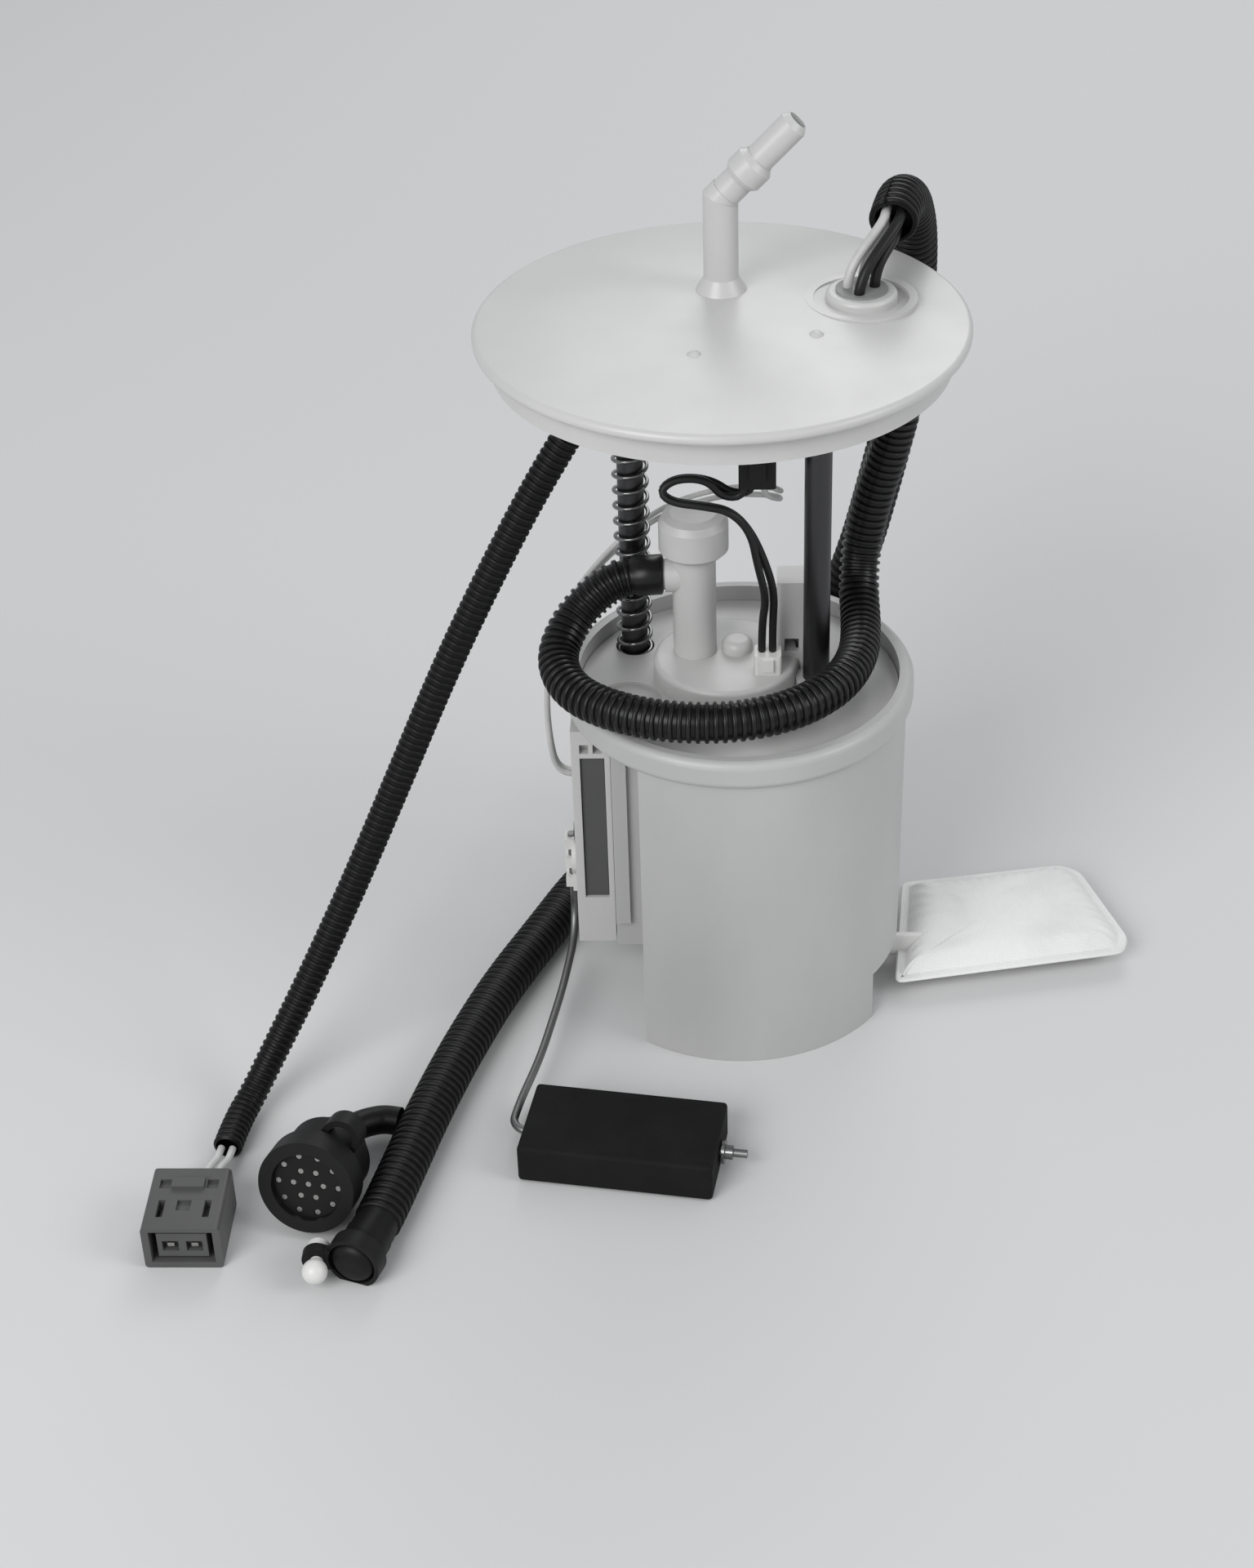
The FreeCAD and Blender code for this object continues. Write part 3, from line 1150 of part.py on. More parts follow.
def round_plug_pins():
    along = plug_placement()[1]
    return Part.makeCompound([cylinder(plug_pin_radius, 3.8, pin + along * (insert_height - 4.0), along)
                              for pin in plug_pin_places()])


def plug_branch():
    """Short taped branch of wires from the loom's slit to the round plug's back."""
    face, along = plug_placement()
    back = face - along * plug_length
    points = loom_points()
    joint = points[-5] + (points[-4] - points[-5]) * 0.3
    aside = UP.cross(points[-4] - points[-5]).normalize() * -1
    start = joint + aside * (loom_radius + 0.1)
    route = [start, start + aside * 5.0, back - along * 9.0 + V(3.4, 1.5, 0), back - along * 6.0, back]
    return tube("plug_branch", route, branch_radius)


def clip_strap():
    """Black strap round the loom's end, with a tab and an eye for the push-in clip."""
    points = loom_points()
    along = (points[-1] - points[-2]).normalize()
    ring_centre = points[-2] + (points[-1] - points[-2]) * 0.6
    ring = pipe_piece(loom_radius + 1.2, loom_radius, 5.0, ring_centre, along)
    tab = block((clip_x, clip_y, clip_z - 3.2),
                (ring_centre.x - loom_radius + 1, clip_y + strap_thickness, clip_z + 3.2))
    eye = cylinder(clip_collar_radius + 1.0, strap_thickness,
                   V(clip_x, clip_y + strap_thickness, clip_z), TO_FRONT)
    neck_hole = cylinder(clip_neck_radius, 9, V(clip_x, clip_y + 6, clip_z), TO_FRONT)
    collar_way = cylinder(clip_collar_radius + running_gap, 9,
                          V(clip_x, clip_y + strap_thickness + 9, clip_z), TO_FRONT)
    loom_way = cylinder(loom_radius + running_gap, 40, ring_centre - along * 12, along)
    eye = fused(tab, eye).cut(loom_way)
    return fused(ring, eye).cut(neck_hole).cut(collar_way)


def harness_clip():
    """White push-in clip: a collar behind the strap's eye, a neck and a round snap head."""
    back = V(clip_x, clip_y + strap_thickness, clip_z)
    rim = clip_collar_radius
    collar = turned([(0, 0), (rim, 0), (rim, 3.0), (rim - 1.0, 4.2), (0, 4.2)], back, V(0, 1, 0))
    neck = cylinder(clip_neck_radius, strap_thickness + clip_head_radius + 1, back, TO_FRONT)
    head = Part.makeSphere(clip_head_radius, V(clip_x, clip_y - clip_head_radius - 0.6, clip_z))
    return fused(collar, neck, head)


NODES = {
    "reservoir_cup": reservoir_cup,
    "reservoir_lid": reservoir_lid,
    "outlet_housing": outlet_housing,
    "check_valve": check_valve,
    "pump_case": pump_case,
    "pump_inlet_cover": pump_inlet_cover,
    "pump_impeller": pump_impeller,
    "pump_bearing_plate": pump_bearing_plate,
    "pump_top_cover": pump_top_cover,
    "pump_brushes": pump_brushes,
    "pump_magnets": pump_magnets,
    "motor_shaft": motor_shaft,
    "armature": armature,
    "commutator": commutator,
    "pump_isolator": pump_isolator,
    "pump_cradle": pump_cradle,
    "pressure_regulator": pressure_regulator,
    "regulator_seal": regulator_seal,
    "foot_valve": foot_valve,
    "strainer_bag": strainer_bag,
    "strainer_neck": strainer_neck,
    "sender_body": sender_body,
    "resistor_card": resistor_card,
    "card_terminals": card_terminals,
    "sender_insert": sender_insert,
    "arm_holder": arm_holder,
    "wiper_contact": wiper_contact,
    "float_arm_wire": float_arm_wire,
    "level_float": level_float,
    "float_clip": float_clip,
    "flange_cover": flange_cover,
    "pass_through_seal": pass_through_seal,
    "header_pins": header_pins,
    "inner_plug": inner_plug,
    "left_guide_rod": lambda: guide_rod(left_rod_x, left_rod_y),
    "right_guide_rod": lambda: guide_rod(right_rod_x, right_rod_y),
    "rod_clips": rod_clips,
    "return_spring": return_spring,
    "fuel_hose": fuel_hose,
    "pump_leads": pump_leads,
    "pump_plug": pump_plug,
    "sender_leads": sender_leads,
    "small_loom": small_loom,
    "small_loom_wires": small_loom_wires,
    "square_plug": square_plug,
    "square_plug_pins": square_plug_pins,
    "harness_loom": harness_loom,
    "pigtail_dark_wires": lambda: pigtail("pigtail_dark_wire", ((-0.8, -3.9), (3.4, 0.9)), 1.4),
    "pigtail_pale_wires": lambda: pigtail("pigtail_pale_wire", ((-3.7, 0.7), (0.4, 4.3)), 1.3),
    "round_plug_shell": round_plug_shell,
    "round_plug_insert": round_plug_insert,
    "round_plug_pins": round_plug_pins,
    "plug_branch": plug_branch,
    "harness_clip": harness_clip,
    "clip_strap": clip_strap,
}

for name, make in NODES.items():
    shape = make()
    print(name, "solids", len(shape.Solids), "valid", shape.isValid(), "volume", round(shape.Volume, 1))
    save(name, shape)
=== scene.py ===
# %% [markdown]
# # An in-tank fuel pump module
# The solid model already holds every rigid piece at its real size. This notebook dresses it: it
# gives each piece its finish, and it models what a solid modeller makes badly, such as corrugated
# hose, split loom, filter cloth and a spring of round wire. Everything is in metres, in the model's
# own frame: the reservoir stands on z = 0, and +Z is up.

# %% Load the solid model
import json
import math
import bpy
import numpy as np
from mathutils import Matrix, Vector


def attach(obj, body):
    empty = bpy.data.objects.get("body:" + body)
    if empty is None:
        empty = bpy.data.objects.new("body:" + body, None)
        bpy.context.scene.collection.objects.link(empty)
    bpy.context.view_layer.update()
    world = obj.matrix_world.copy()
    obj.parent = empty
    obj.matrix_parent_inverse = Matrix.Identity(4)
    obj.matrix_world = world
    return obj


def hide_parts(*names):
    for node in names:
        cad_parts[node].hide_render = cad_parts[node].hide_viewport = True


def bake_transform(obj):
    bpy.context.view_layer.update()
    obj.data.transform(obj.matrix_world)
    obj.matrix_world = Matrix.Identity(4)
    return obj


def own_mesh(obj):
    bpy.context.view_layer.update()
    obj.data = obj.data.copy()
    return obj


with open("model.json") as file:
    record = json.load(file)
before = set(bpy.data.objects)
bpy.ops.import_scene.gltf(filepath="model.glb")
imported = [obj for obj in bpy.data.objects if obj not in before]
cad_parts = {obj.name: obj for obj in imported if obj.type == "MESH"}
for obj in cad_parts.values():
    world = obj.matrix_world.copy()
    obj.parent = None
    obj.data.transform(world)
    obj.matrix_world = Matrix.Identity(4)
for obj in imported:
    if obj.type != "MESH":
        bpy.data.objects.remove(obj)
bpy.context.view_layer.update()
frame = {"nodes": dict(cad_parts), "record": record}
MM = 0.001

# %% [markdown]
# ## Small helpers
# An operator acts on whatever is selected, so each step starts from an empty selection.
# A finished piece keeps its place in its mesh, and its object sits at the origin, so that a
# pattern in object coordinates neither slides nor turns.

# %% Selection and mesh helpers


def select_only(*objects):
    for other in list(bpy.context.selected_objects):
        other.select_set(False)
    for thing in objects:
        thing.select_set(True)
    if objects:
        bpy.context.view_layer.objects.active = objects[0]


def named(name):
    """Names the object that an operator has just made, and its mesh."""
    thing = bpy.context.active_object
    thing.name = name
    thing.data.name = name
    return thing


def joined(name, *things):
    select_only(*things)
    bpy.ops.object.join()
    return named(name)


def smooth(thing, angle):
    """Shades a piece smooth, but leaves edges that turn by more than this angle, in degrees."""
    select_only(thing)
    bpy.ops.object.shade_smooth_by_angle(angle=math.radians(angle))


def new_mesh(name, points, faces):
    mesh = bpy.data.meshes.new(name)
    mesh.from_pydata([tuple(p) for p in points], [], faces)
    mesh.validate()
    thing = bpy.data.objects.new(name, mesh)
    bpy.context.collection.objects.link(thing)
    return thing


print("helpers to select, name, join, smooth and build a mesh")

# %% [markdown]
# ## The camera
# The photograph looks down on the module by about 34 degrees from about three quarters of a metre
# away. A rather long lens at that distance gives the flange's ellipse and the cup's slight taper
# downwards. The camera is turned by its own axes, because it also leans by two degrees.

# %% Camera
CAMERA_PLACE = Vector((0.0, -0.6611, 0.520))
PITCH = math.radians(34.49)
YAW = math.radians(2.82)
ROLL = math.radians(1.96)
LENS = 63.75

look = Vector((-math.sin(YAW) * math.cos(PITCH), math.cos(YAW) * math.cos(PITCH), -math.sin(PITCH)))
level_right = look.cross(Vector((0, 0, 1))).normalized()
level_up = level_right.cross(look)
right = level_right * math.cos(ROLL) - level_up * math.sin(ROLL)
up = level_up * math.cos(ROLL) + level_right * math.sin(ROLL)
camera_data = bpy.data.cameras.new("camera")
camera_data.lens = LENS
camera = bpy.data.objects.new("camera", camera_data)
bpy.context.collection.objects.link(camera)
axes = Matrix((right, up, -look)).transposed().to_4x4()
camera.matrix_world = Matrix.Translation(CAMERA_PLACE) @ axes
bpy.context.scene.camera = camera
bpy.context.scene.view_settings.view_transform = "Standard"
print("camera:", LENS, "mm lens, looking down by", round(math.degrees(PITCH), 1), "degrees")

# %% [markdown]
# ## The floor
# The module stands on a large plain sheet, which keeps its shadow. The sheet is dull, so that no
# lamp shows in it.

# %% Floor
FLOOR_SIZE = 6
FLOOR_COLOUR = (0.60, 0.60, 0.60)


def material(name, colour, roughness, metallic=0.0, specular=0.5):
    """A new material with its node tree and its shader, ready for more nodes."""
    made = bpy.data.materials.new(name)
    made.use_nodes = True
    shader = made.node_tree.nodes["Principled BSDF"]
    shader.inputs["Base Color"].default_value = (*colour, 1)
    shader.inputs["Roughness"].default_value = roughness
    shader.inputs["Metallic"].default_value = metallic
    shader.inputs["Specular IOR Level"].default_value = specular
    return made, made.node_tree, shader


select_only()
bpy.ops.mesh.primitive_plane_add(size=FLOOR_SIZE, location=(0, 0, 0))
floor = named("floor")
floor_paper = material("floor_paper", FLOOR_COLOUR, 0.9, specular=0.1)[0]
floor.data.materials.append(floor_paper)
print("floor:", FLOOR_SIZE, "m square")

# %% [markdown]
# ## The light
# One broad soft lamp stands at the front left, two weaker ones at the right and behind, and the
# world is even all round. Together they are set so that a colour renders about as it is written.
# Broad lamps blur the edges of the shadows, where a small one would cut them hard.

# %% Lamps and world
SKY_COLOUR = (0.95, 0.97, 1.0)
SKY_STRENGTH = 0.52


def turn_to(axis):
    """Rotation that takes +Z to the given axis."""
    return Vector(axis).normalized().to_track_quat("Z", "Y").to_matrix().to_4x4()


def soft_lamp(name, place, target, size, watts):
    light = bpy.data.lights.new(name, "AREA")
    light.shape = "DISK"
    light.size = size
    light.energy = watts
    lamp = bpy.data.objects.new(name, light)
    bpy.context.collection.objects.link(lamp)
    lamp.matrix_world = Matrix.Translation(place) @ turn_to(Vector(place) - Vector(target))


soft_lamp("key_lamp", place=(-0.75, -1.15, 0.95), target=(0, 0, 0.1), size=1.0, watts=15.5)
soft_lamp("side_lamp", place=(1.2, -0.5, 0.9), target=(0, 0, 0.1), size=0.8, watts=6.0)
soft_lamp("back_lamp", place=(0.2, 1.2, 1.1), target=(0, 0, 0.15), size=0.9, watts=6.0)
world = bpy.data.worlds.new("studio")
bpy.context.scene.world = world
world.use_nodes = True
world.node_tree.nodes["Background"].inputs["Color"].default_value = (*SKY_COLOUR, 1)
world.node_tree.nodes["Background"].inputs["Strength"].default_value = SKY_STRENGTH
print("lamps:", len(bpy.data.lights))

# %% [markdown]
# ## Finishes
# Every finish is built from noise in object coordinates, so it needs no picture and stays put on
# the piece from any side. Each helper below adds one layer: a field of noise, a blend of two
# colours, a range of values, or a bump. The finishes are kept by the names a parts list would use.

# %% Shader helpers
finish = {}


def add_node(tree, kind, **values):
    """Adds a node. Each value goes to the input of that name, or else to the node's setting."""
    node = tree.nodes.new(kind)
    for key, value in values.items():
        if key in node.inputs:
            node.inputs[key].default_value = value
        else:
            setattr(node, key, value)
    return node


def noise(tree, scale, detail, stretch=(1, 1, 1)):
    """Noise in object coordinates. A stretch below 1 pulls it out along that axis."""
    place = add_node(tree, "ShaderNodeTexCoord")
    mapping = add_node(tree, "ShaderNodeMapping", Scale=stretch)
    field = add_node(tree, "ShaderNodeTexNoise", Scale=scale, Detail=detail, Roughness=0.55)
    tree.links.new(place.outputs["Object"], mapping.inputs["Vector"])
    tree.links.new(mapping.outputs["Vector"], field.inputs["Vector"])
    return field.outputs["Fac"]


def ramp(tree, source, low, high, start=0.3, end=0.7):
    """Turns a 0 to 1 field into a blend of two colours."""
    node = add_node(tree, "ShaderNodeValToRGB")
    node.color_ramp.elements[0].position = start
    node.color_ramp.elements[0].color = (*low, 1)
    node.color_ramp.elements[1].position = end
    node.color_ramp.elements[1].color = (*high, 1)
    tree.links.new(source, node.inputs["Fac"])
    return node.outputs["Color"]


def spread(tree, source, low, high):
    """Maps a 0 to 1 field to a range of values."""
    node = add_node(tree, "ShaderNodeMapRange")
    node.inputs["To Min"].default_value = low
    node.inputs["To Max"].default_value = high
    tree.links.new(source, node.inputs["Value"])
    return node.outputs["Result"]


def bump(tree, shader, source, height, strength):
    node = add_node(tree, "ShaderNodeBump", Strength=strength, Distance=height)
    tree.links.new(source, node.inputs["Height"])
    tree.links.new(node.outputs["Normal"], shader.inputs["Normal"])


def scaled(colour, factor):
    return tuple(min(1.0, c * factor) for c in colour)


print("helpers for noise, colour ramps, ranges and bumps")

# %% [markdown]
# ### Moulded plastic
# The flange, the reservoir and the plugs are injection moulded. Melted plastic leaves cloudy flow
# marks, the mould's steel leaves a very fine grain, and pale plastic lets a little light in. One
# flat colour would look like paint, so the three are laid over each other. Both noises are faint,
# because a strong one would look like stone.

# %% Moulded plastic
WAX_DEPTH = 4.0 * MM


def moulded(name, colour, roughness, mottle, grain=0.04 * MM, glow=0.0, specular=0.5):
    made, tree, shader = material(name, colour, roughness, specular=specular)
    flow = noise(tree, scale=38, detail=4, stretch=(1, 1, 0.45))
    clouded = ramp(tree, flow, scaled(colour, 1 - mottle), scaled(colour, 1 + mottle))
    tree.links.new(clouded, shader.inputs["Base Color"])
    handled = spread(tree, noise(tree, scale=120, detail=3), roughness - 0.06, roughness + 0.08)
    tree.links.new(handled, shader.inputs["Roughness"])
    bump(tree, shader, noise(tree, scale=900, detail=2), height=grain, strength=0.6)
    if glow:
        shader.inputs["Subsurface Weight"].default_value = glow
        shader.inputs["Subsurface Radius"].default_value = (WAX_DEPTH, WAX_DEPTH, WAX_DEPTH)
        shader.inputs["Subsurface Scale"].default_value = 1.0
    finish[name] = made


moulded("flange_plastic", (0.51, 0.51, 0.50), 0.34, mottle=0.03, grain=0.03 * MM, glow=0.12)
moulded("cup_plastic", (0.43, 0.43, 0.425), 0.38, mottle=0.04, glow=0.12)
moulded("lid_plastic", (0.52, 0.52, 0.51), 0.40, mottle=0.05, glow=0.12)
moulded("black_plastic", (0.009, 0.009, 0.0095), 0.46, mottle=0.2, specular=0.2)
moulded("grey_plastic", (0.085, 0.085, 0.085), 0.45, mottle=0.08, specular=0.3)
moulded("pale_plastic", (0.66, 0.66, 0.64), 0.38, mottle=0.03, grain=0.03 * MM, glow=0.1)
print("with the plastics:", len(finish), "finishes")

# %% [markdown]
# ### Metal
# Rods, spring and case are drawn or rolled, which leaves streaks along the way the metal went. The
# same noise is pulled out along that way, and drives the colour, the shine and a very low bump, so
# that the three agree with each other.

# %% Metal


def metal(name, colour, roughness, stretch=(1, 1, 1), scratch=0.03 * MM, wear=0.12):
    made, tree, shader = material(name, colour, roughness, metallic=1.0)
    streak = noise(tree, scale=260, detail=4, stretch=stretch)
    wear_and_valley_shade = ramp(tree, streak, scaled(colour, 1 - wear), scaled(colour, 1 + wear))
    tree.links.new(wear_and_valley_shade, shader.inputs["Base Color"])
    shine = spread(tree, streak, roughness - 0.08, roughness + 0.12)
    tree.links.new(shine, shader.inputs["Roughness"])
    bump(tree, shader, streak, height=scratch, strength=0.5)
    finish[name] = made


AROUND_Z = (0.1, 0.1, 1)
ALONG_Y = (1, 0.1, 1)
ALONG_Z = (1, 1, 0.05)
STACKED_SHEETS = (0.05, 0.05, 4)
metal("rod_steel", (0.075, 0.075, 0.078), 0.36, ALONG_Z)
metal("spring_steel", (0.22, 0.22, 0.22), 0.20, scratch=0.01 * MM, wear=0.1)
metal("wire_steel", (0.22, 0.22, 0.22), 0.42, ALONG_Y, scratch=0.01 * MM, wear=0.1)
metal("case_steel", (0.60, 0.60, 0.60), 0.30, AROUND_Z)
metal("core_steel", (0.30, 0.30, 0.30), 0.45, STACKED_SHEETS)
metal("magnet", (0.10, 0.10, 0.105), 0.6)
metal("contact_metal", (0.38, 0.375, 0.36), 0.32)
metal("zinc_metal", (0.55, 0.55, 0.54), 0.34)
print("with the metals:", len(finish), "finishes")

# %% [markdown]
# ### Rubber, insulation and foam
# These are dull and even, with close pores and a little dust that lightens them in patches. The
# pores are a bump only, since they are no more than about a tenth of a millimetre deep.

# %% Rubber, insulation and foam


def rubbery(name, colour, roughness, pore=0.06 * MM, scale=500, specular=0.4):
    made, tree, shader = material(name, colour, roughness, specular=specular)
    dust = ramp(tree, noise(tree, scale=60, detail=4), scaled(colour, 0.85), scaled(colour, 1.3))
    tree.links.new(dust, shader.inputs["Base Color"])
    bump(tree, shader, noise(tree, scale, detail=3), height=pore, strength=0.8)
    finish[name] = made


rubbery("carbon", (0.03, 0.03, 0.03), 0.7)
rubbery("rubber_black", (0.02, 0.02, 0.02), 0.62, specular=0.25)
rubbery("potting_grey", (0.20, 0.20, 0.20), 0.5, pore=0.1 * MM, scale=300)
rubbery("wire_dark", (0.009, 0.009, 0.0095), 0.42, pore=0.02 * MM, specular=0.3)
rubbery("wire_pale", (0.50, 0.50, 0.49), 0.42, pore=0.02 * MM)
rubbery("float_black", (0.009, 0.009, 0.009), 0.75, pore=0.12 * MM, scale=420, specular=0.12)
print("with rubber and insulation:", len(finish), "finishes")

# %% [markdown]
# ### Ribbed plastic
# The valleys of a hose or a loom are painted darker than its crests, as painted shade, and the
# crests keep the plastic's colour with patches of dust. A pattern of stripes would slip off the
# ridges in a bend, so the mesh carries the height of its ridges as an attribute, and the finish
# reads it.

# %% Ribbed plastic


def ribbed_black(name, colour, roughness, specular):
    made, tree, shader = material(name, colour, roughness, specular=specular)
    ridge = add_node(tree, "ShaderNodeAttribute", attribute_name="ridge")
    dusty = ramp(tree, noise(tree, scale=90, detail=4), scaled(colour, 0.8), scaled(colour, 1.25))
    # Painted shade: the valleys take a darker copy of the colour, and the crests take the dusty
    # colour.
    wear_and_valley_shade = add_node(tree, "ShaderNodeMix", data_type="RGBA")
    tree.links.new(ridge.outputs["Fac"], wear_and_valley_shade.inputs["Factor"])
    wear_and_valley_shade.inputs["A"].default_value = (*scaled(colour, 0.35), 1)
    tree.links.new(dusty, wear_and_valley_shade.inputs["B"])
    tree.links.new(wear_and_valley_shade.outputs["Result"], shader.inputs["Base Color"])
    bump(tree, shader, noise(tree, scale=700, detail=2), height=0.03 * MM, strength=0.5)
    finish[name] = made


ribbed_black("hose_black", (0.009, 0.009, 0.0095), 0.34, specular=0.3)
ribbed_black("loom_black", (0.007, 0.007, 0.0075), 0.44, specular=0.2)
print("with the ribbed plastics:", len(finish), "finishes")

# %% [markdown]
# ### Filter cloth and the sender's card
# The strainer is woven from fine plastic thread, with faint stains where fuel has dried. The card
# is dark ceramic with printed silver tracks, which the sender's wiper runs over. Both are stripes:
# one wave gives the tracks, and two crossed waves give the weave.

# %% Cloth and card
THREAD = 0.6 * MM
TRACK = 1.1 * MM
CARD_COLOUR = (0.05, 0.055, 0.052)
SILVER = (0.42, 0.42, 0.40)


def stripes(tree, period, direction):
    """A 0 to 1 wave in object coordinates. The node's own wave repeats every pi / 10 metres."""
    place = add_node(tree, "ShaderNodeTexCoord")
    wave = add_node(tree, "ShaderNodeTexWave", wave_type="BANDS", wave_profile="SIN",
                    bands_direction=direction)
    wave.inputs["Scale"].default_value = math.pi / (10 * period)
    tree.links.new(place.outputs["Object"], wave.inputs["Vector"])
    return wave.outputs["Fac"]


def woven(name, colour, thread):
    made, tree, shader = material(name, colour, 0.85, specular=0.2)
    shader.inputs["Sheen Weight"].default_value = 0.25
    crossing = add_node(tree, "ShaderNodeMath", operation="MULTIPLY")
    tree.links.new(stripes(tree, thread, "X"), crossing.inputs[0])
    tree.links.new(stripes(tree, thread, "Y"), crossing.inputs[1])
    weave = crossing.outputs["Value"]
    stain = ramp(tree, noise(tree, scale=42, detail=5), scaled(colour, 0.90), colour,
                 start=0.35, end=0.6)
    shade = add_node(tree, "ShaderNodeMix", data_type="RGBA", blend_type="MULTIPLY")
    shade.inputs["Factor"].default_value = 0.25
    tree.links.new(stain, shade.inputs["A"])
    gaps = ramp(tree, weave, (0.7, 0.7, 0.7), (1, 1, 1), start=0.0, end=0.4)
    tree.links.new(gaps, shade.inputs["B"])
    tree.links.new(shade.outputs["Result"], shader.inputs["Base Color"])
    bump(tree, shader, weave, height=0.12 * MM, strength=0.7)
    finish[name] = made


def printed_card(name):
    made, tree, shader = material(name, CARD_COLOUR, 0.32)
    tracks = ramp(tree, stripes(tree, TRACK, "Z"), CARD_COLOUR, SILVER, start=0.62, end=0.70)
    tree.links.new(tracks, shader.inputs["Base Color"])
    bump(tree, shader, noise(tree, scale=400, detail=3), height=0.02 * MM, strength=0.5)
    finish[name] = made


printed_card("card_ceramic")
woven("strainer_cloth", (0.80, 0.80, 0.79), THREAD)
print("all:", len(finish), "finishes")

# %% [markdown]
# ### Dressing a piece
# A piece takes its finish by name. The same name tells the parts list what the piece is made of.

# %% Dressing a piece


def dress(thing, slot):
    thing.data.materials.clear()
    thing.data.materials.append(finish[slot])


print("finishes to dress with:", ", ".join(finish))

# %% [markdown]
# ## Routes
# A hose, a loom or a wire is a fixed length of something flexible. Each route is a list of control
# points of one smooth NURBS line, the same points that the solid model's plain tubes follow. A
# bevel on the curve would only give a plain tube, so the line is read back as a mesh with no
# bevel, and the piece is then built along it, ring by ring.

# %% Reading a route
STEPS_PER_POINT = 24


def smooth_line(name, points_mm):
    """The NURBS line with these control points, as a list of points in metres."""
    curve = bpy.data.curves.new(name + "_line", "CURVE")
    curve.dimensions = "3D"
    curve.resolution_u = STEPS_PER_POINT
    spline = curve.splines.new("NURBS")
    spline.points.add(len(points_mm) - 1)
    for point, place in zip(spline.points, points_mm):
        point.co = (*(c * MM for c in place), 1)
    spline.order_u = 3
    spline.use_endpoint_u = True
    holder = bpy.data.objects.new(name + "_line", curve)
    bpy.context.collection.objects.link(holder)
    line = bpy.data.meshes.new_from_object(holder)
    places = [v.co.copy() for v in line.vertices]
    bpy.data.objects.remove(holder)
    return places


print("a route has", STEPS_PER_POINT, "steps to each control point")

# %% [markdown]
# ### A place on the line
# To set rings along a line, it has to say where it is and which way it heads at any distance. Its
# cross axes are handed on from each point to the next, so that a tube does not twist in a bend.

# %% Walking along a line
# Points closer than this, in metres, count as one.
SAME_PLACE = 1e-7
# A start whose cross product with +Z is shorter than this stands too upright to take its axis so.
TOO_UPRIGHT = 0.1


class Way:
    """A line that can be asked for its place and its cross axes at a distance along it."""

    def __init__(self, line):
        self.points = [line[0]]
        for point in line[1:]:
            if (point - self.points[-1]).length > SAME_PLACE:
                self.points.append(point)
        pairs = list(zip(self.points, self.points[1:]))
        self.reach = np.concatenate([[0], np.cumsum([(b - a).length for a, b in pairs])])
        self.length = float(self.reach[-1])
        steps = [(b - a).normalized() for a, b in pairs]
        corners = [(a + b).normalized() for a, b in zip(steps, steps[1:])]
        self.along = [steps[0], *corners, steps[-1]]
        side = self.along[0].cross(Vector((0, 0, 1)))
        if side.length < TOO_UPRIGHT:
            side = self.along[0].cross(Vector((1, 0, 0)))
        self.side = [side.normalized()]
        for direction in self.along[1:]:
            before = self.side[-1]
            self.side.append((before - direction * before.dot(direction)).normalized())

    def at(self, distance):
        """The place at this distance, and the line's two cross axes there."""
        index = int(np.clip(np.searchsorted(self.reach, distance) - 1, 0, len(self.points) - 2))
        span = self.reach[index + 1] - self.reach[index]
        share = float(np.clip((distance - self.reach[index]) / span, 0, 1))
        place = self.points[index].lerp(self.points[index + 1], share)
        along = self.along[index].lerp(self.along[index + 1], share).normalized()
        side = self.side[index].lerp(self.side[index + 1], share)
        side = (side - along * side.dot(along)).normalized()
        return place, side, along.cross(side)


print("a line gives its place and its cross axes at any distance")

# %% [markdown]
# ### A skin through rings
# A ring is (distance along, radius, ridge). The ridge runs from 0 in a valley to 1 on a crest, and
# the mesh keeps it for the ribbed finish, which paints the valleys darker as painted shade. A split
# loom has a slit along one side: three points stand close together there, and the middle one is
# drawn in and takes the valleys' painted shade, which shows as a dark line.

# %% A skin through rings
# Half widths in radians: of the stretch that is cleared of points, and of the slit itself.
SLIT_CLEAR = 0.12
SLIT_HALF = 0.05
SLIT_DEPTH = 0.6 * MM
RING_SHADE_ANGLE = 50


def ring_angles(sides, seam):
    """The angles of a ring's points, each with how far it is drawn in. seam is in degrees."""
    even = [2 * math.pi * k / sides for k in range(sides)]
    if seam is None:
        return [(angle, 0.0) for angle in even]
    middle = math.radians(seam)
    away = [abs((angle - middle + math.pi) % (2 * math.pi) - math.pi) for angle in even]
    kept = [(angle, 0.0) for angle, gap in zip(even, away) if gap > SLIT_CLEAR]
    slit = [(middle - SLIT_HALF, 0.0), (middle, SLIT_DEPTH), (middle + SLIT_HALF, 0.0)]
    return sorted(kept + slit)


def quads_between(rows, count, first=0):
    """Faces that join each row of points to the next, where the rows are closed rings."""
    faces = []
    for start in range(first, first + (rows - 1) * count, count):
        for k in range(count):
            a = start + k
            b = start + (k + 1) % count
            faces.append((a, b, b + count, a + count))
    return faces


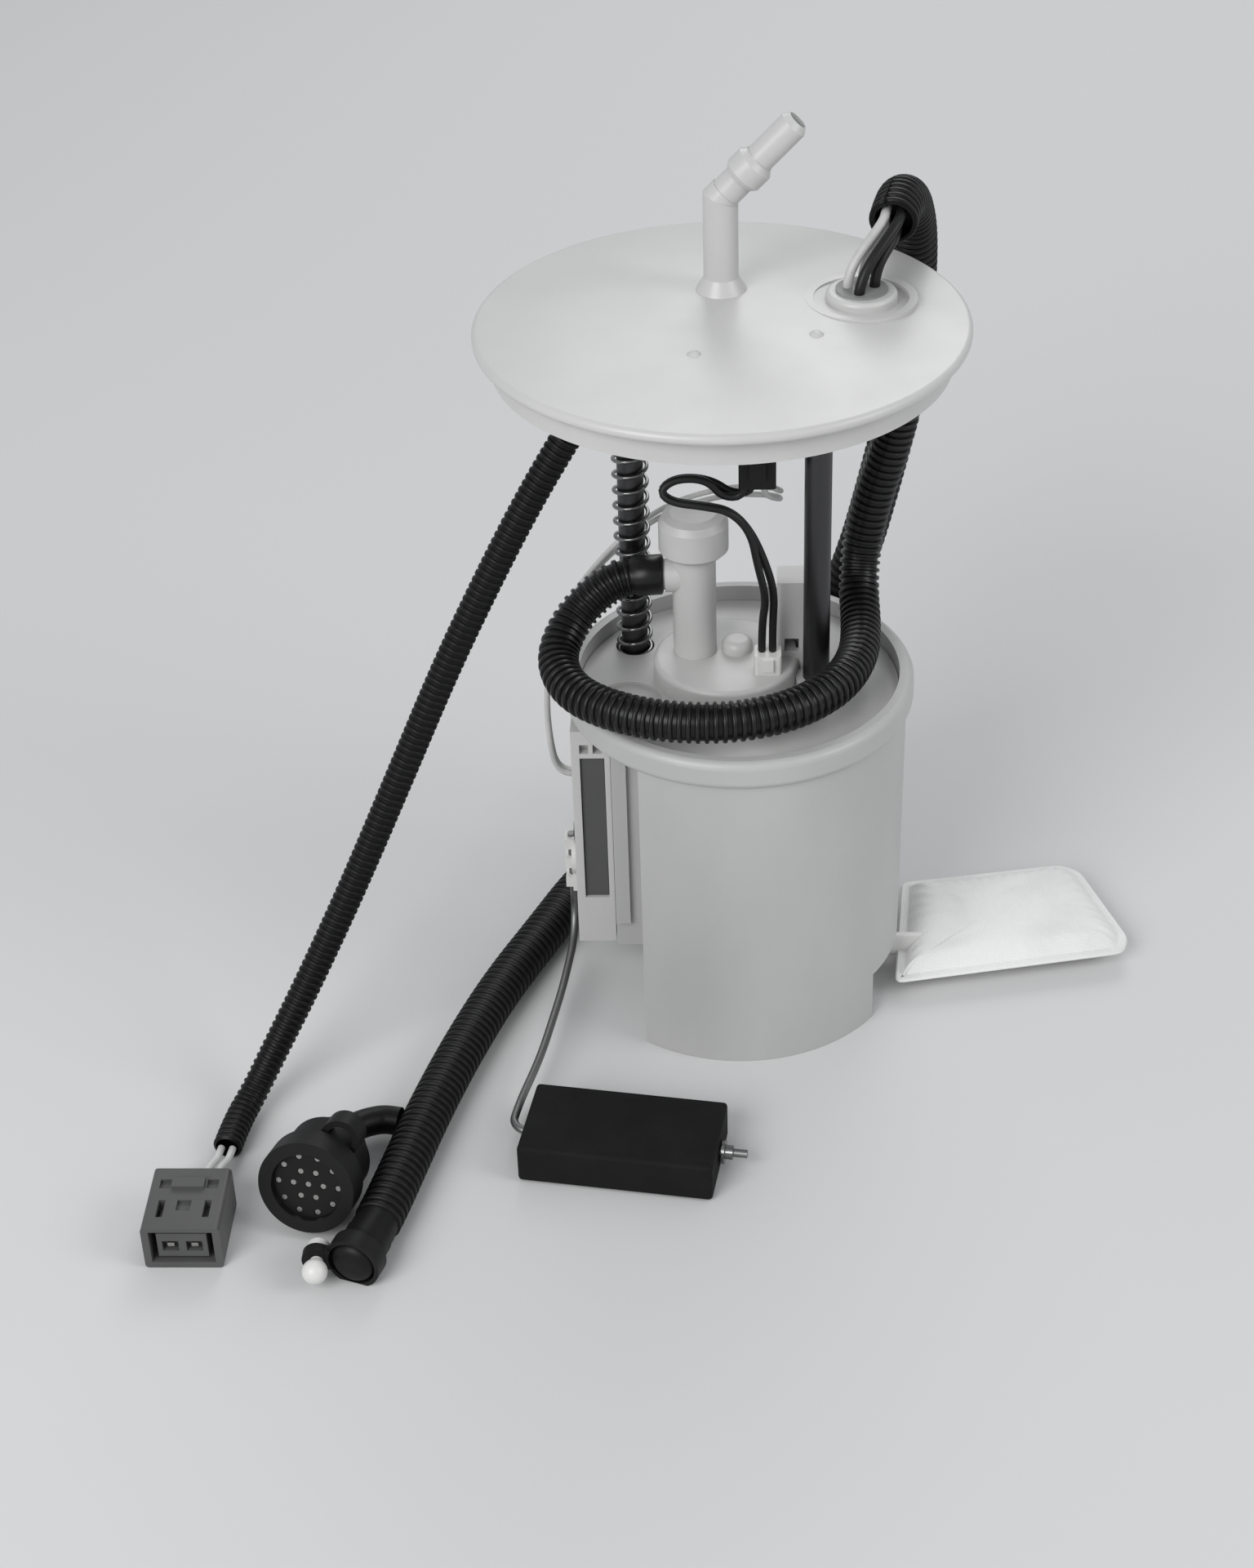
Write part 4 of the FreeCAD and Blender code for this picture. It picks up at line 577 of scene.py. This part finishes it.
def sweep(name, way, rings, sides, seam=None, seam_end=math.inf):
    """A closed skin through rings along a way. The slit, if any, stops at the distance seam_end."""
    angles = ring_angles(sides, seam)
    count = len(angles)
    points = []
    ridges = []
    for distance, radius, ridge in rings:
        place, side, other = way.at(distance)
        for angle, pull in angles:
            drawn = pull if distance < seam_end else 0.0
            reach = radius - drawn
            points.append(place + side * (reach * math.cos(angle)) + other * (reach * math.sin(angle)))
            # The slit's middle point takes ridge 0: painted shade along the slit.
            ridges.append(0.0 if drawn else ridge)
    faces = quads_between(len(rings), count)
    faces.append(tuple(reversed(range(count))))
    faces.append(tuple(range((len(rings) - 1) * count, len(rings) * count)))
    thing = new_mesh(name, points, faces)
    layer = thing.data.attributes.new("ridge", "FLOAT", "POINT")
    layer.data.foreach_set("value", ridges)
    smooth(thing, RING_SHADE_ANGLE)
    return thing


print("a slit is", SLIT_DEPTH / MM, "mm deep")

# %% [markdown]
# ### Rings for ribs, mouths and wires
# A rib is seven rings: a flat valley, a short flank, a flat crest and the flank back. Real ribs
# are moulded with such flats, and a plain wave would look like a spring. An open mouth turns
# inwards at its lip and runs down the bore, so that the wall has its thickness. The bore takes
# the valleys' painted shade, and the lip takes part of it.

# %% Rings for ribs, mouths and wires
RIB_PROFILE = ((0.04, 0), (0.20, 0), (0.28, 0.7), (0.36, 1), (0.64, 1), (0.72, 0.7), (0.80, 0))
MOUTH_DEPTH = 6.0 * MM
LIP = 0.3 * MM
LIP_RIDGE = 0.4
WIRE_SIDES = 12
WIRE_RIDGE = 0.5
# The end of a wire is narrower, as a share of its radius, so that its edge is slightly round.
WIRE_END = 0.72
FEWEST_STEPS = 8


def rib_rings(length, outer, depth, pitch):
    count = max(1, round(length / pitch))
    step = length / count
    rings = []
    for index in range(count):
        for share, rise in RIB_PROFILE:
            rings.append(((index + share) * step, outer - depth * (1 - rise), rise))
    return rings


def mouth_rings(bore, depth, flare):
    """An open end, from down in the bore out to the lip, which is flared by this much."""
    # The bore's rings take ridge 0 and the lip LIP_RIDGE: painted shade down inside the mouth.
    return [(depth, bore, 0), (LIP, bore, 0), (0.0, bore + flare, LIP_RIDGE)]


def from_far_end(rings, length):
    """The same rings, set off from the far end of a piece of this length."""
    return [(length - distance, radius, ridge) for distance, radius, ridge in reversed(rings)]


def plain_rings(length, radius, steps):
    """A plain round length with slightly rounded ends."""
    soft = min(radius * 0.3, length * 0.1)
    start = [(0.0, radius * WIRE_END, WIRE_RIDGE), (soft, radius, WIRE_RIDGE)]
    places = [soft + (length - 2 * soft) * k / steps for k in range(1, steps)]
    return start + [(place, radius, WIRE_RIDGE) for place in places] + from_far_end(start, length)


def wire(name, points_mm, radius_mm, spacing):
    """A plain wire along a route, with a ring at each spacing."""
    way = Way(smooth_line(name, points_mm))
    steps = max(FEWEST_STEPS, int(way.length / spacing))
    return sweep(name, way, plain_rings(way.length, radius_mm * MM, steps), WIRE_SIDES)


print("a rib is", len(RIB_PROFILE), "rings")

# %% [markdown]
# ## The large loom
# A split corrugated loom 13 mm across. It leaves the flange's boss as loose wires, arches over the
# rim, comes down behind the reservoir and lies on the floor out to the round plug at the front
# left. The photograph shows both of its ends; the stretch behind the reservoir is hidden.
# A plain tube with a bump map looks false at its outline, so the ridges are real rings. The front
# end is wrapped shut with cloth tape, which runs through the clip's strap and draws in to a nose.

# %% Large loom
LOOM_MM = [(40.8, 18.6, 229.4), (42.4, 26.8, 230.6), (44.4, 36.0, 229.0), (46.6, 45.0, 223.4),
           (48.6, 52.6, 213.0), (49.4, 58.0, 199.0), (48.8, 61.2, 179.0), (46.6, 60.6, 155.0),
           (41.4, 60.0, 131.0), (35.4, 60.6, 105.0), (25.0, 62.4, 76.0), (9.0, 64.0, 46.0),
           (-9.0, 62.4, 20.5), (-25.5, 57.0, 8.6), (-40.0, 46.0, 6.6), (-50.0, 29.0, 6.6),
           (-59.6, 6.0, 6.6), (-70.4, -19.0, 6.6), (-79.4, -46.0, 6.6), (-87.0, -74.0, 6.6),
           (-92.2, -98.0, 6.6), (-95.8, -114.6, 6.6), (-98.9, -126.0, 6.6), (-101.9, -134.6, 6.6)]
LOOM_RADIUS = 6.5 * MM
LOOM_BORE = 5.0 * MM
LOOM_RIB = 0.55 * MM
LOOM_PITCH = 2.5 * MM
LOOM_FLARE = 0.2 * MM
LOOM_SIDES = 28
LOOM_SEAM = 250
TAPED = 15.0 * MM
NOSE = 2.6 * MM
TAPE_RIDGE = 0.75
NOSE_RIDGE = 0.7
# Pairs in mm: how far into the tape a ring stands, and how far below the loom's crests it lies.
TAPE_MM = ((0.2, 0.6), (2.4, 0.62), (2.6, 0.35), (5.2, 0.37), (5.4, 0.1), (8.6, 0.12))
# Pairs in mm: how far before the nose's tip a ring stands, and how far below the crests it lies.
NOSE_MM = ((2.0, 0.3), (0.9, 1.1), (0.2, 2.4), (0.0, 4.2))

loom_way = Way(smooth_line("large_loom", LOOM_MM))
tip = loom_way.points[-1] + loom_way.along[-1] * NOSE
taped_way = Way(loom_way.points + [tip])
ribbed_length = taped_way.length - TAPED - NOSE
loom_rings = mouth_rings(LOOM_BORE, MOUTH_DEPTH, LOOM_FLARE)
loom_rings += rib_rings(ribbed_length, LOOM_RADIUS, LOOM_RIB, LOOM_PITCH)
loom_rings += [(ribbed_length + into * MM, LOOM_RADIUS - below * MM, TAPE_RIDGE)
               for into, below in TAPE_MM]
loom_rings += [(taped_way.length - before * MM, LOOM_RADIUS - below * MM, NOSE_RIDGE)
               for before, below in NOSE_MM]
large_loom = sweep("large_loom", taped_way, loom_rings, LOOM_SIDES, seam=LOOM_SEAM,
                   seam_end=loom_way.length - TAPED)
dress(large_loom, "loom_black")
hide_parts("harness_loom")
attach(large_loom, "flange")
print("large loom:", round(loom_way.length, 4), "m of 13 mm loom")

# %% [markdown]
# ### Its loose wires
# Two dark wires and two pale ones rise from the boss's potting and bend into the loom's mouth. They
# run on inside the mouth, so that no cut end shows there. They stand wider apart at the boss than
# in the mouth, which gathers them.

# %% Wires between the boss and the loom
BOSS_MM = Vector((32.5, 7.8, 216.0))
# Where each wire stands on the boss, as (x, y) in mm from its middle.
DARK_FEET_MM = ((-0.8, -3.9), (3.4, 0.9))
PALE_FEET_MM = ((-3.7, 0.7), (0.4, 4.3))
DARK_RADIUS_MM = 1.4
PALE_RADIUS_MM = 1.3
# The wires' spread in the loom's mouth, as a share of their spread on the boss.
GATHERED = 0.75
SUNK_MM = 0.6
RISE_MM = 4.5
APPROACH_MM = 3.5
INSIDE_MM = 5.0
PIGTAIL_SPACING = 2.0 * MM


def pigtail(name, feet_mm, radius_mm, slot):
    """Wires from these places on the boss into the loom's mouth, as one piece."""
    mouth = Vector(LOOM_MM[0])
    along = (Vector(LOOM_MM[1]) - mouth).normalized()
    across = along.cross(Vector((0, -1, 0))).normalized()
    onward = across.cross(along).normalized()
    wires = []
    for dx, dy in feet_mm:
        foot = BOSS_MM + Vector((dx, dy, 0))
        goal = mouth + across * (dx * GATHERED) - onward * (dy * GATHERED)
        route = [foot - Vector((0, 0, SUNK_MM)), foot + Vector((0, 0, RISE_MM)),
                 goal - along * APPROACH_MM, goal, goal + along * INSIDE_MM]
        wires.append(wire(name, route, radius_mm, PIGTAIL_SPACING))
    made = joined(name, *wires)
    dress(made, slot)
    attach(made, "flange")
    return made


dark_wires = pigtail("boss_wires_dark", DARK_FEET_MM, DARK_RADIUS_MM, "wire_dark")
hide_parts("pigtail_dark_wires")
pale_wires = pigtail("boss_wires_pale", PALE_FEET_MM, PALE_RADIUS_MM, "wire_pale")
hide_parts("pigtail_pale_wires")
print("boss wires:", len(dark_wires.data.polygons) + len(pale_wires.data.polygons), "faces")

# %% [markdown]
# ## The small loom
# The same kind of loom, about 8 mm across, from under the flange's left side down to the grey plug.
# It is stiff enough to stand almost straight. Two pale wires come out of its end.

# %% Small loom
SMALL_LOOM_MM = [(-37.5, -19.6, 199.0), (-44.8, -21.0, 187.5), (-54.6, -22.8, 171.0),
                 (-65.0, -26.0, 151.8), (-78.5, -30.0, 125.0), (-93.0, -35.0, 92.5),
                 (-107.6, -42.5, 61.0), (-121.5, -51.5, 34.0), (-131.0, -59.0, 17.5),
                 (-137.6, -67.5, 7.0), (-141.4, -77.0, 4.2), (-142.6, -88.0, 4.2)]
SMALL_RADIUS = 4.1 * MM
SMALL_BORE = 3.1 * MM
SMALL_RIB = 0.4 * MM
SMALL_PITCH = 2.0 * MM
SMALL_MOUTH_DEPTH = 4.0 * MM
SMALL_SIDES = 22
SMALL_SEAM = 120

small_way = Way(smooth_line("small_loom", SMALL_LOOM_MM))
small_mouth = mouth_rings(SMALL_BORE, SMALL_MOUTH_DEPTH, LOOM_FLARE)
small_ribs = rib_rings(small_way.length, SMALL_RADIUS, SMALL_RIB, SMALL_PITCH)
small_rings = small_mouth + small_ribs + from_far_end(small_mouth, small_way.length)
thin_loom = sweep("thin_loom", small_way, small_rings, SMALL_SIDES, seam=SMALL_SEAM)
dress(thin_loom, "loom_black")
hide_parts("small_loom")
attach(thin_loom, "flange")
print("small loom:", round(small_way.length, 4), "m of 8 mm loom")

# %% [markdown]
# ## The fuel hose
# A corrugated plastic fuel hose 11.4 mm across. It hangs between the outlet housing on the reservoir
# and the flange's elbow. At each end a plain cuff is pushed over the nipple.

# %% Fuel hose
HOSE_MM = [(-20.8, 8.0, 130.5), (-30.8, 8.0, 130.5), (-38.8, 5.5, 127.2), (-47.0, 0.5, 120.0),
           (-51.0, -9.5, 113.5), (-46.0, -22.5, 111.2), (-33.5, -32.5, 111.0), (-17.0, -37.8, 111.0),
           (0.0, -37.8, 111.0), (15.5, -31.5, 111.0), (27.5, -19.5, 111.0), (33.5, -4.0, 111.0),
           (34.5, 10.5, 112.5), (34.0, 21.0, 117.5), (34.8, 27.5, 128.0), (38.0, 28.8, 144.0),
           (43.0, 28.5, 161.0), (45.5, 27.0, 175.0), (42.5, 22.5, 186.5), (33.5, 16.0, 190.6),
           (17.5, 13.4, 190.0), (7.5, 13.4, 190.0)]
HOSE_RADIUS = 5.7 * MM
HOSE_BORE = 4.45 * MM
HOSE_RIB = 0.75 * MM
HOSE_PITCH = 2.3 * MM
HOSE_SIDES = 26
CUFF = 9.0 * MM
CUFF_RIDGE = 0.8

hose_way = Way(smooth_line("fuel_hose", HOSE_MM))
cuff_rings = mouth_rings(HOSE_BORE, MOUTH_DEPTH, LIP)
cuff_rings += [(0.2 * MM, HOSE_RADIUS - LIP, 0.6), (0.6 * MM, HOSE_RADIUS, CUFF_RIDGE),
               (CUFF - 1.2 * MM, HOSE_RADIUS, CUFF_RIDGE),
               (CUFF - 0.2 * MM, HOSE_RADIUS - HOSE_RIB, 0.2)]
hose_ribs = [(CUFF + distance, radius, ridge) for distance, radius, ridge
             in rib_rings(hose_way.length - 2 * CUFF, HOSE_RADIUS, HOSE_RIB, HOSE_PITCH)]
hose_rings = cuff_rings + hose_ribs + from_far_end(cuff_rings, hose_way.length)
ribbed_hose = sweep("ribbed_hose", hose_way, hose_rings, HOSE_SIDES)
dress(ribbed_hose, "hose_black")
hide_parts("fuel_hose")
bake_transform(ribbed_hose)
print("fuel hose:", round(hose_way.length, 4), "m, mesh of", len(ribbed_hose.data.polygons), "faces")

# %% [markdown]
# ## The return spring
# Twenty-one turns of 1.1 mm round wire round the left guide rod. The solid model's spring is swept
# with a square section, which lights wrongly, so the round wire is wound here. Its last turn at
# each end is closed, as a real spring's is.

# %% Return spring
ROD_X = -29.8 * MM
ROD_Y = 20.0 * MM
SPRING_RADIUS = 4.7 * MM
SPRING_WIRE = 0.55 * MM
SPRING_LOW = 98.35 * MM
SPRING_HIGH = 193.55 * MM
TURNS = 21
CLOSED_RISE = 2.2 * SPRING_WIRE
POINTS_PER_TURN = 36
RINGS_PER_TURN = 30
SPRING_SIDES = 10

full_rise = SPRING_HIGH - SPRING_LOW
coil_line = []
for index in range(TURNS * POINTS_PER_TURN + 1):
    turn = index / POINTS_PER_TURN
    if turn < 1.0:
        rise = CLOSED_RISE * turn
    elif turn > TURNS - 1.0:
        rise = full_rise - CLOSED_RISE * (TURNS - turn)
    else:
        rise = CLOSED_RISE + (full_rise - 2 * CLOSED_RISE) * (turn - 1.0) / (TURNS - 2.0)
    angle = 2 * math.pi * turn
    coil_line.append(Vector((ROD_X + SPRING_RADIUS * math.cos(angle),
                             ROD_Y + SPRING_RADIUS * math.sin(angle), SPRING_LOW + rise)))
coil_way = Way(coil_line)
coil_rings = plain_rings(coil_way.length, SPRING_WIRE, TURNS * RINGS_PER_TURN)
round_spring = sweep("round_spring", coil_way, coil_rings, SPRING_SIDES)
dress(round_spring, "spring_steel")
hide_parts("return_spring")
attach(round_spring, "flange")
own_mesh(round_spring)
print("spring wire:", round(coil_way.length, 3), "m in", TURNS, "turns")

# %% [markdown]
# ## The leads
# Two black leads hang in a hairpin from the inner plug down to the pump, and two thin pale ones run
# round the left rod to the level sender. The two leads of a pair are one route, the second a little
# to one side, as wires from the same plug lie.

# %% Leads to the pump
LEAD_SPACING = 1.2 * MM
PUMP_LEAD_RADIUS_MM = 1.1


def bending(name, routes, radius_mm, slot, replaced):
    """Wires along these routes, from the flange's plug at z 166 mm down to the reservoir, as one
    piece.
    """
    made = joined(name, *[wire(name, route, radius_mm, LEAD_SPACING) for route in routes])
    dress(made, slot)
    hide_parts(replaced)
    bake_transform(made)
    return made


def pump_route(behind, drop):
    """A flat hairpin to the left and back, and then down. All numbers are in mm."""
    x = 1.6 + behind
    y = -6.6 + behind
    end_x = 6.4 + behind * 1.3
    return [(x, y, 166.0), (x, y, 162.6), (-4.2 + behind, y, 162.6),
            (-7.4 + behind / 2, y, 167.0 - drop), (-12.0, y, 168.4 - drop),
            (-17.6, y - 0.2, 167.8 - drop), (-21.0, y - 1.2, 164.9 - drop),
            (-17.6, y - 2.6, 162.4 - drop), (-9.6, y - 3.2, 161.6 - drop),
            (-2.0, y - 3.2, 160.0 - drop), (3.4, y - 2.8, 153.4 - drop),
            (5.2 + behind, y - 1.8, 142.6 - drop), (7.6 + behind, y, 131.2),
            (end_x, -3.2, 121.0), (end_x, -3.2, 112.0)]


pump_routes = [pump_route(behind=0.0, drop=0.0), pump_route(behind=2.3, drop=0.9)]
lead_pair = bending("lead_pair", pump_routes, PUMP_LEAD_RADIUS_MM, "wire_dark", "pump_leads")
print("pump leads:", len(lead_pair.data.polygons), "faces")

# %% [markdown]
# ### Leads to the level sender
# These pass behind the left rod and come down outside the cup to the back of the sender.

# %% Leads to the level sender
SENDER_LEAD_RADIUS_MM = 0.8


def sender_route(shift):
    """From the plug round the left rod and down to the sender. All numbers are in mm."""
    x = 8.7 - shift
    y = 7.4 + shift
    return [(x, 1.5, 166.0), (x, 1.5, 161.0 - shift), (12.5, 8.0, 156.0 - shift),
            (10.0, 22.0, 150.0 - shift), (-4.0, 30.0, 146.0 - shift), (-22.0, 33.5, 138.0 - shift),
            (-37.0, 32.4 + shift / 2, 125.0 - shift), (-48.6, 25.0 + shift / 2, 113.0 - shift / 2),
            (-54.0, 15.0 + shift, 102.0), (-55.4, 8.4 + shift, 89.0), (-55.0, y, 75.0),
            (-53.1, y, 64.0), (-48.5, y, 64.0)]


sender_routes = [sender_route(shift=0.0), sender_route(shift=2.4)]
sender_pair = bending("sender_pair", sender_routes, SENDER_LEAD_RADIUS_MM, "wire_pale",
                      "sender_leads")
print("sender leads:", len(sender_pair.data.polygons), "faces")

# %% [markdown]
# ## The strainer
# A sock of white filter cloth, welded flat all round its edge and held open inside. It is modelled
# as a pillow: the weld is a thin band that follows the outline, and the cloth rises from it with
# small puckers where the weld has drawn it in. A cloth simulation would take long and leave the
# folds to chance, so they are worked out. First comes the outline, with its rounded corners.

# %% The strainer's outline
BAG_MM = [(45.4, -18.4), (49.8, 31.0), (99.6, 39.6), (105.4, 36.0), (116.2, 2.6), (114.0, -4.6)]
BAG_MIDDLE_MM = Vector((76.0, 11.0))
CORNER_RADIUS_MM = 3.0
CORNER_STEPS = 8
OUTLINE_STEP_MM = 0.9


def rounded_outline(corners, radius, spacing):
    """A closed outline with rounded corners, sampled at even steps, and each sample's distance."""
    places = []
    for index, corner in enumerate(corners):
        here = Vector(corner)
        to_before = (Vector(corners[index - 1]) - here).normalized()
        to_after = (Vector(corners[(index + 1) % len(corners)]) - here).normalized()
        for k in range(CORNER_STEPS + 1):
            t = k / CORNER_STEPS
            places.append((here + to_before * radius) * (1 - t) ** 2 + here * 2 * t * (1 - t)
                          + (here + to_after * radius) * t ** 2)
    places.append(places[0])
    reach = np.concatenate([[0], np.cumsum([(b - a).length for a, b in zip(places, places[1:])])])
    wanted = np.linspace(0, reach[-1], int(reach[-1] / spacing), endpoint=False)
    flat = np.array([tuple(p) for p in places])
    samples = [np.interp(wanted, reach, flat[:, axis]) for axis in (0, 1)]
    return np.stack(samples, 1), wanted


outline, around = rounded_outline(BAG_MM, CORNER_RADIUS_MM, OUTLINE_STEP_MM)
tangent = np.roll(outline, -1, 0) - np.roll(outline, 1, 0)
inward = np.stack([tangent[:, 1], -tangent[:, 0]], 1)
inward /= np.linalg.norm(inward, axis=1)[:, None]
print("strainer's outline:", len(outline), "points")

# %% [markdown]
# ### The cloth's height
# The sock is built as rings that step inwards, each with its height above the seam. The weld is
# flat. Past it the cloth rises fast and then levels off. Puckers are short waves beside the weld
# that die out further in, and the slack is a long, low wave. All numbers are in mm.

# %% The strainer's rings
SEAM_Z = 6.1
CLOTH_HALF = 4.9
WELD_WIDTH = 2.6
WELD_HALF = 0.55
# The weld's rings go by their share of its width, and the cloth's by their distance past it.
WELD_STEPS = (0.15, 0.5, 0.85, 1.0)
INSETS = (0.6, 1.4, 2.4, 3.6, 5.0, 6.6, 8.4, 10.5, 13.0, 16.0)
# The crown's rings go by their share of the way to the middle, and start past the last inset.
CROWN_STEPS = (0.55, 0.72, 0.86)
CROWN_GAP = 0.5
# No ring goes further than these shares of the way, on the cloth and on the crown.
CLOTH_FARTHEST = 0.94
CROWN_FARTHEST = 0.95
# How far in the cloth has risen fully, and how steeply it starts.
RISE_RUN = 9.5
RISE_POWER = 2.6
# The puckers' height, their spacing round the edge and its drift, and where they are strongest.
PUCKER_HEIGHT = 0.30
PUCKER_STEP = 5.2
PUCKER_DRIFT = 1.4
PUCKER_DRIFT_RUN = 13.0
PUCKER_INSET = 2.6
PUCKER_REACH = 3.2
# The long, low wave of the slack, which turns a little from ring to ring, and the sag in all.
SLACK_DEPTH = 0.35
SLACK_RUN = 8.0
SLACK_WAVE = 9.0
SLACK_TURN = 5.0
CROWN_SLACK = 0.25
SAG = 0.3
MIDDLE_SAG = 0.25

weld_edge = outline + inward * WELD_WIDTH
to_middle = np.array(BAG_MIDDLE_MM) - weld_edge
span = np.linalg.norm(to_middle, axis=1)
pucker_wave = np.sin(around * 2 * math.pi / PUCKER_STEP
                     + PUCKER_DRIFT * np.sin(around / PUCKER_DRIFT_RUN))

levels = [(outline, np.full(len(outline), 0.0))]
for part in WELD_STEPS:
    levels.append((outline + inward * WELD_WIDTH * part, np.full(len(outline), WELD_HALF)))
for inset in INSETS:
    rise = 1 - (1 - min(inset / RISE_RUN, 1.0)) ** RISE_POWER
    pucker = PUCKER_HEIGHT * pucker_wave * math.exp(-((inset - PUCKER_INSET) / PUCKER_REACH) ** 2)
    slack_wave = (1 + np.sin(around / SLACK_WAVE + inset / SLACK_TURN)) / 2
    slack = SLACK_DEPTH * slack_wave * min(1.0, inset / SLACK_RUN)
    height = WELD_HALF + rise * (CLOTH_HALF - WELD_HALF - SAG - slack + pucker)
    share = np.minimum(inset / span, CLOTH_FARTHEST)
    levels.append((weld_edge + to_middle * share[:, None], height))
for step in CROWN_STEPS:
    slack = CROWN_SLACK * (1 + np.sin(around / SLACK_WAVE + INSETS[-1] / SLACK_TURN)) * (1 - step)
    share = np.maximum(step, np.minimum((INSETS[-1] + CROWN_GAP) / span, CROWN_FARTHEST))
    levels.append((weld_edge + to_middle * share[:, None], CLOTH_HALF - SAG - slack))
print("strainer:", len(levels), "rings on each side")

# %% [markdown]
# ### The sock
# The upper and the lower half are the same rings, one above the seam and one below. Their outer
# rings meet, so doubles are merged there, and then all faces are turned outwards.

# %% Strainer sock
SOCK_SHADE_ANGLE = 40

count = len(outline)
half_count = len(levels) * count + 1
points = []
faces = []
for half, side in enumerate((1, -1)):
    for plan, height in levels:
        points += [(x * MM, y * MM, (SEAM_Z + side * h) * MM) for (x, y), h in zip(plan, height)]
    middle_z = SEAM_Z + side * (CLOTH_HALF - MIDDLE_SAG)
    points.append((BAG_MIDDLE_MM.x * MM, BAG_MIDDLE_MM.y * MM, middle_z * MM))
    base = half * half_count
    faces += quads_between(len(levels), count, base)
    last = base + (len(levels) - 1) * count
    faces += [(last + k, last + (k + 1) % count, base + half_count - 1) for k in range(count)]
strainer_sock = new_mesh("strainer_sock", points, faces)

select_only(strainer_sock)
bpy.ops.object.mode_set(mode="EDIT")
bpy.ops.mesh.select_all(action="SELECT")
bpy.ops.mesh.remove_doubles(threshold=0.01 * MM)
bpy.ops.mesh.normals_make_consistent(inside=False)
bpy.ops.object.mode_set(mode="OBJECT")
smooth(strainer_sock, SOCK_SHADE_ANGLE)
dress(strainer_sock, "strainer_cloth")
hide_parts("strainer_bag")
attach(strainer_sock, "reservoir")
print("strainer sock:", len(strainer_sock.data.polygons), "faces")

# %% [markdown]
# ## Finishes for the solid pieces
# Every other node keeps its solid shape and takes the finish of its place in the parts list.

# %% Finishes on the solid model's nodes
slots = {row["node"]: row["material_slot"] for row in frame["record"]["subparts"]}
for node in frame["nodes"].values():
    node.data.materials.clear()
    node.data.materials.append(finish[slots[node.name]])
print(len(frame["nodes"]), "nodes dressed")

# %% [markdown]
# ## The looms' lengths
# The two looms have a fixed length, and each is attached to the flange.

# %% The looms' lengths
print("cords:", round(loom_way.length, 3), round(small_way.length, 3))
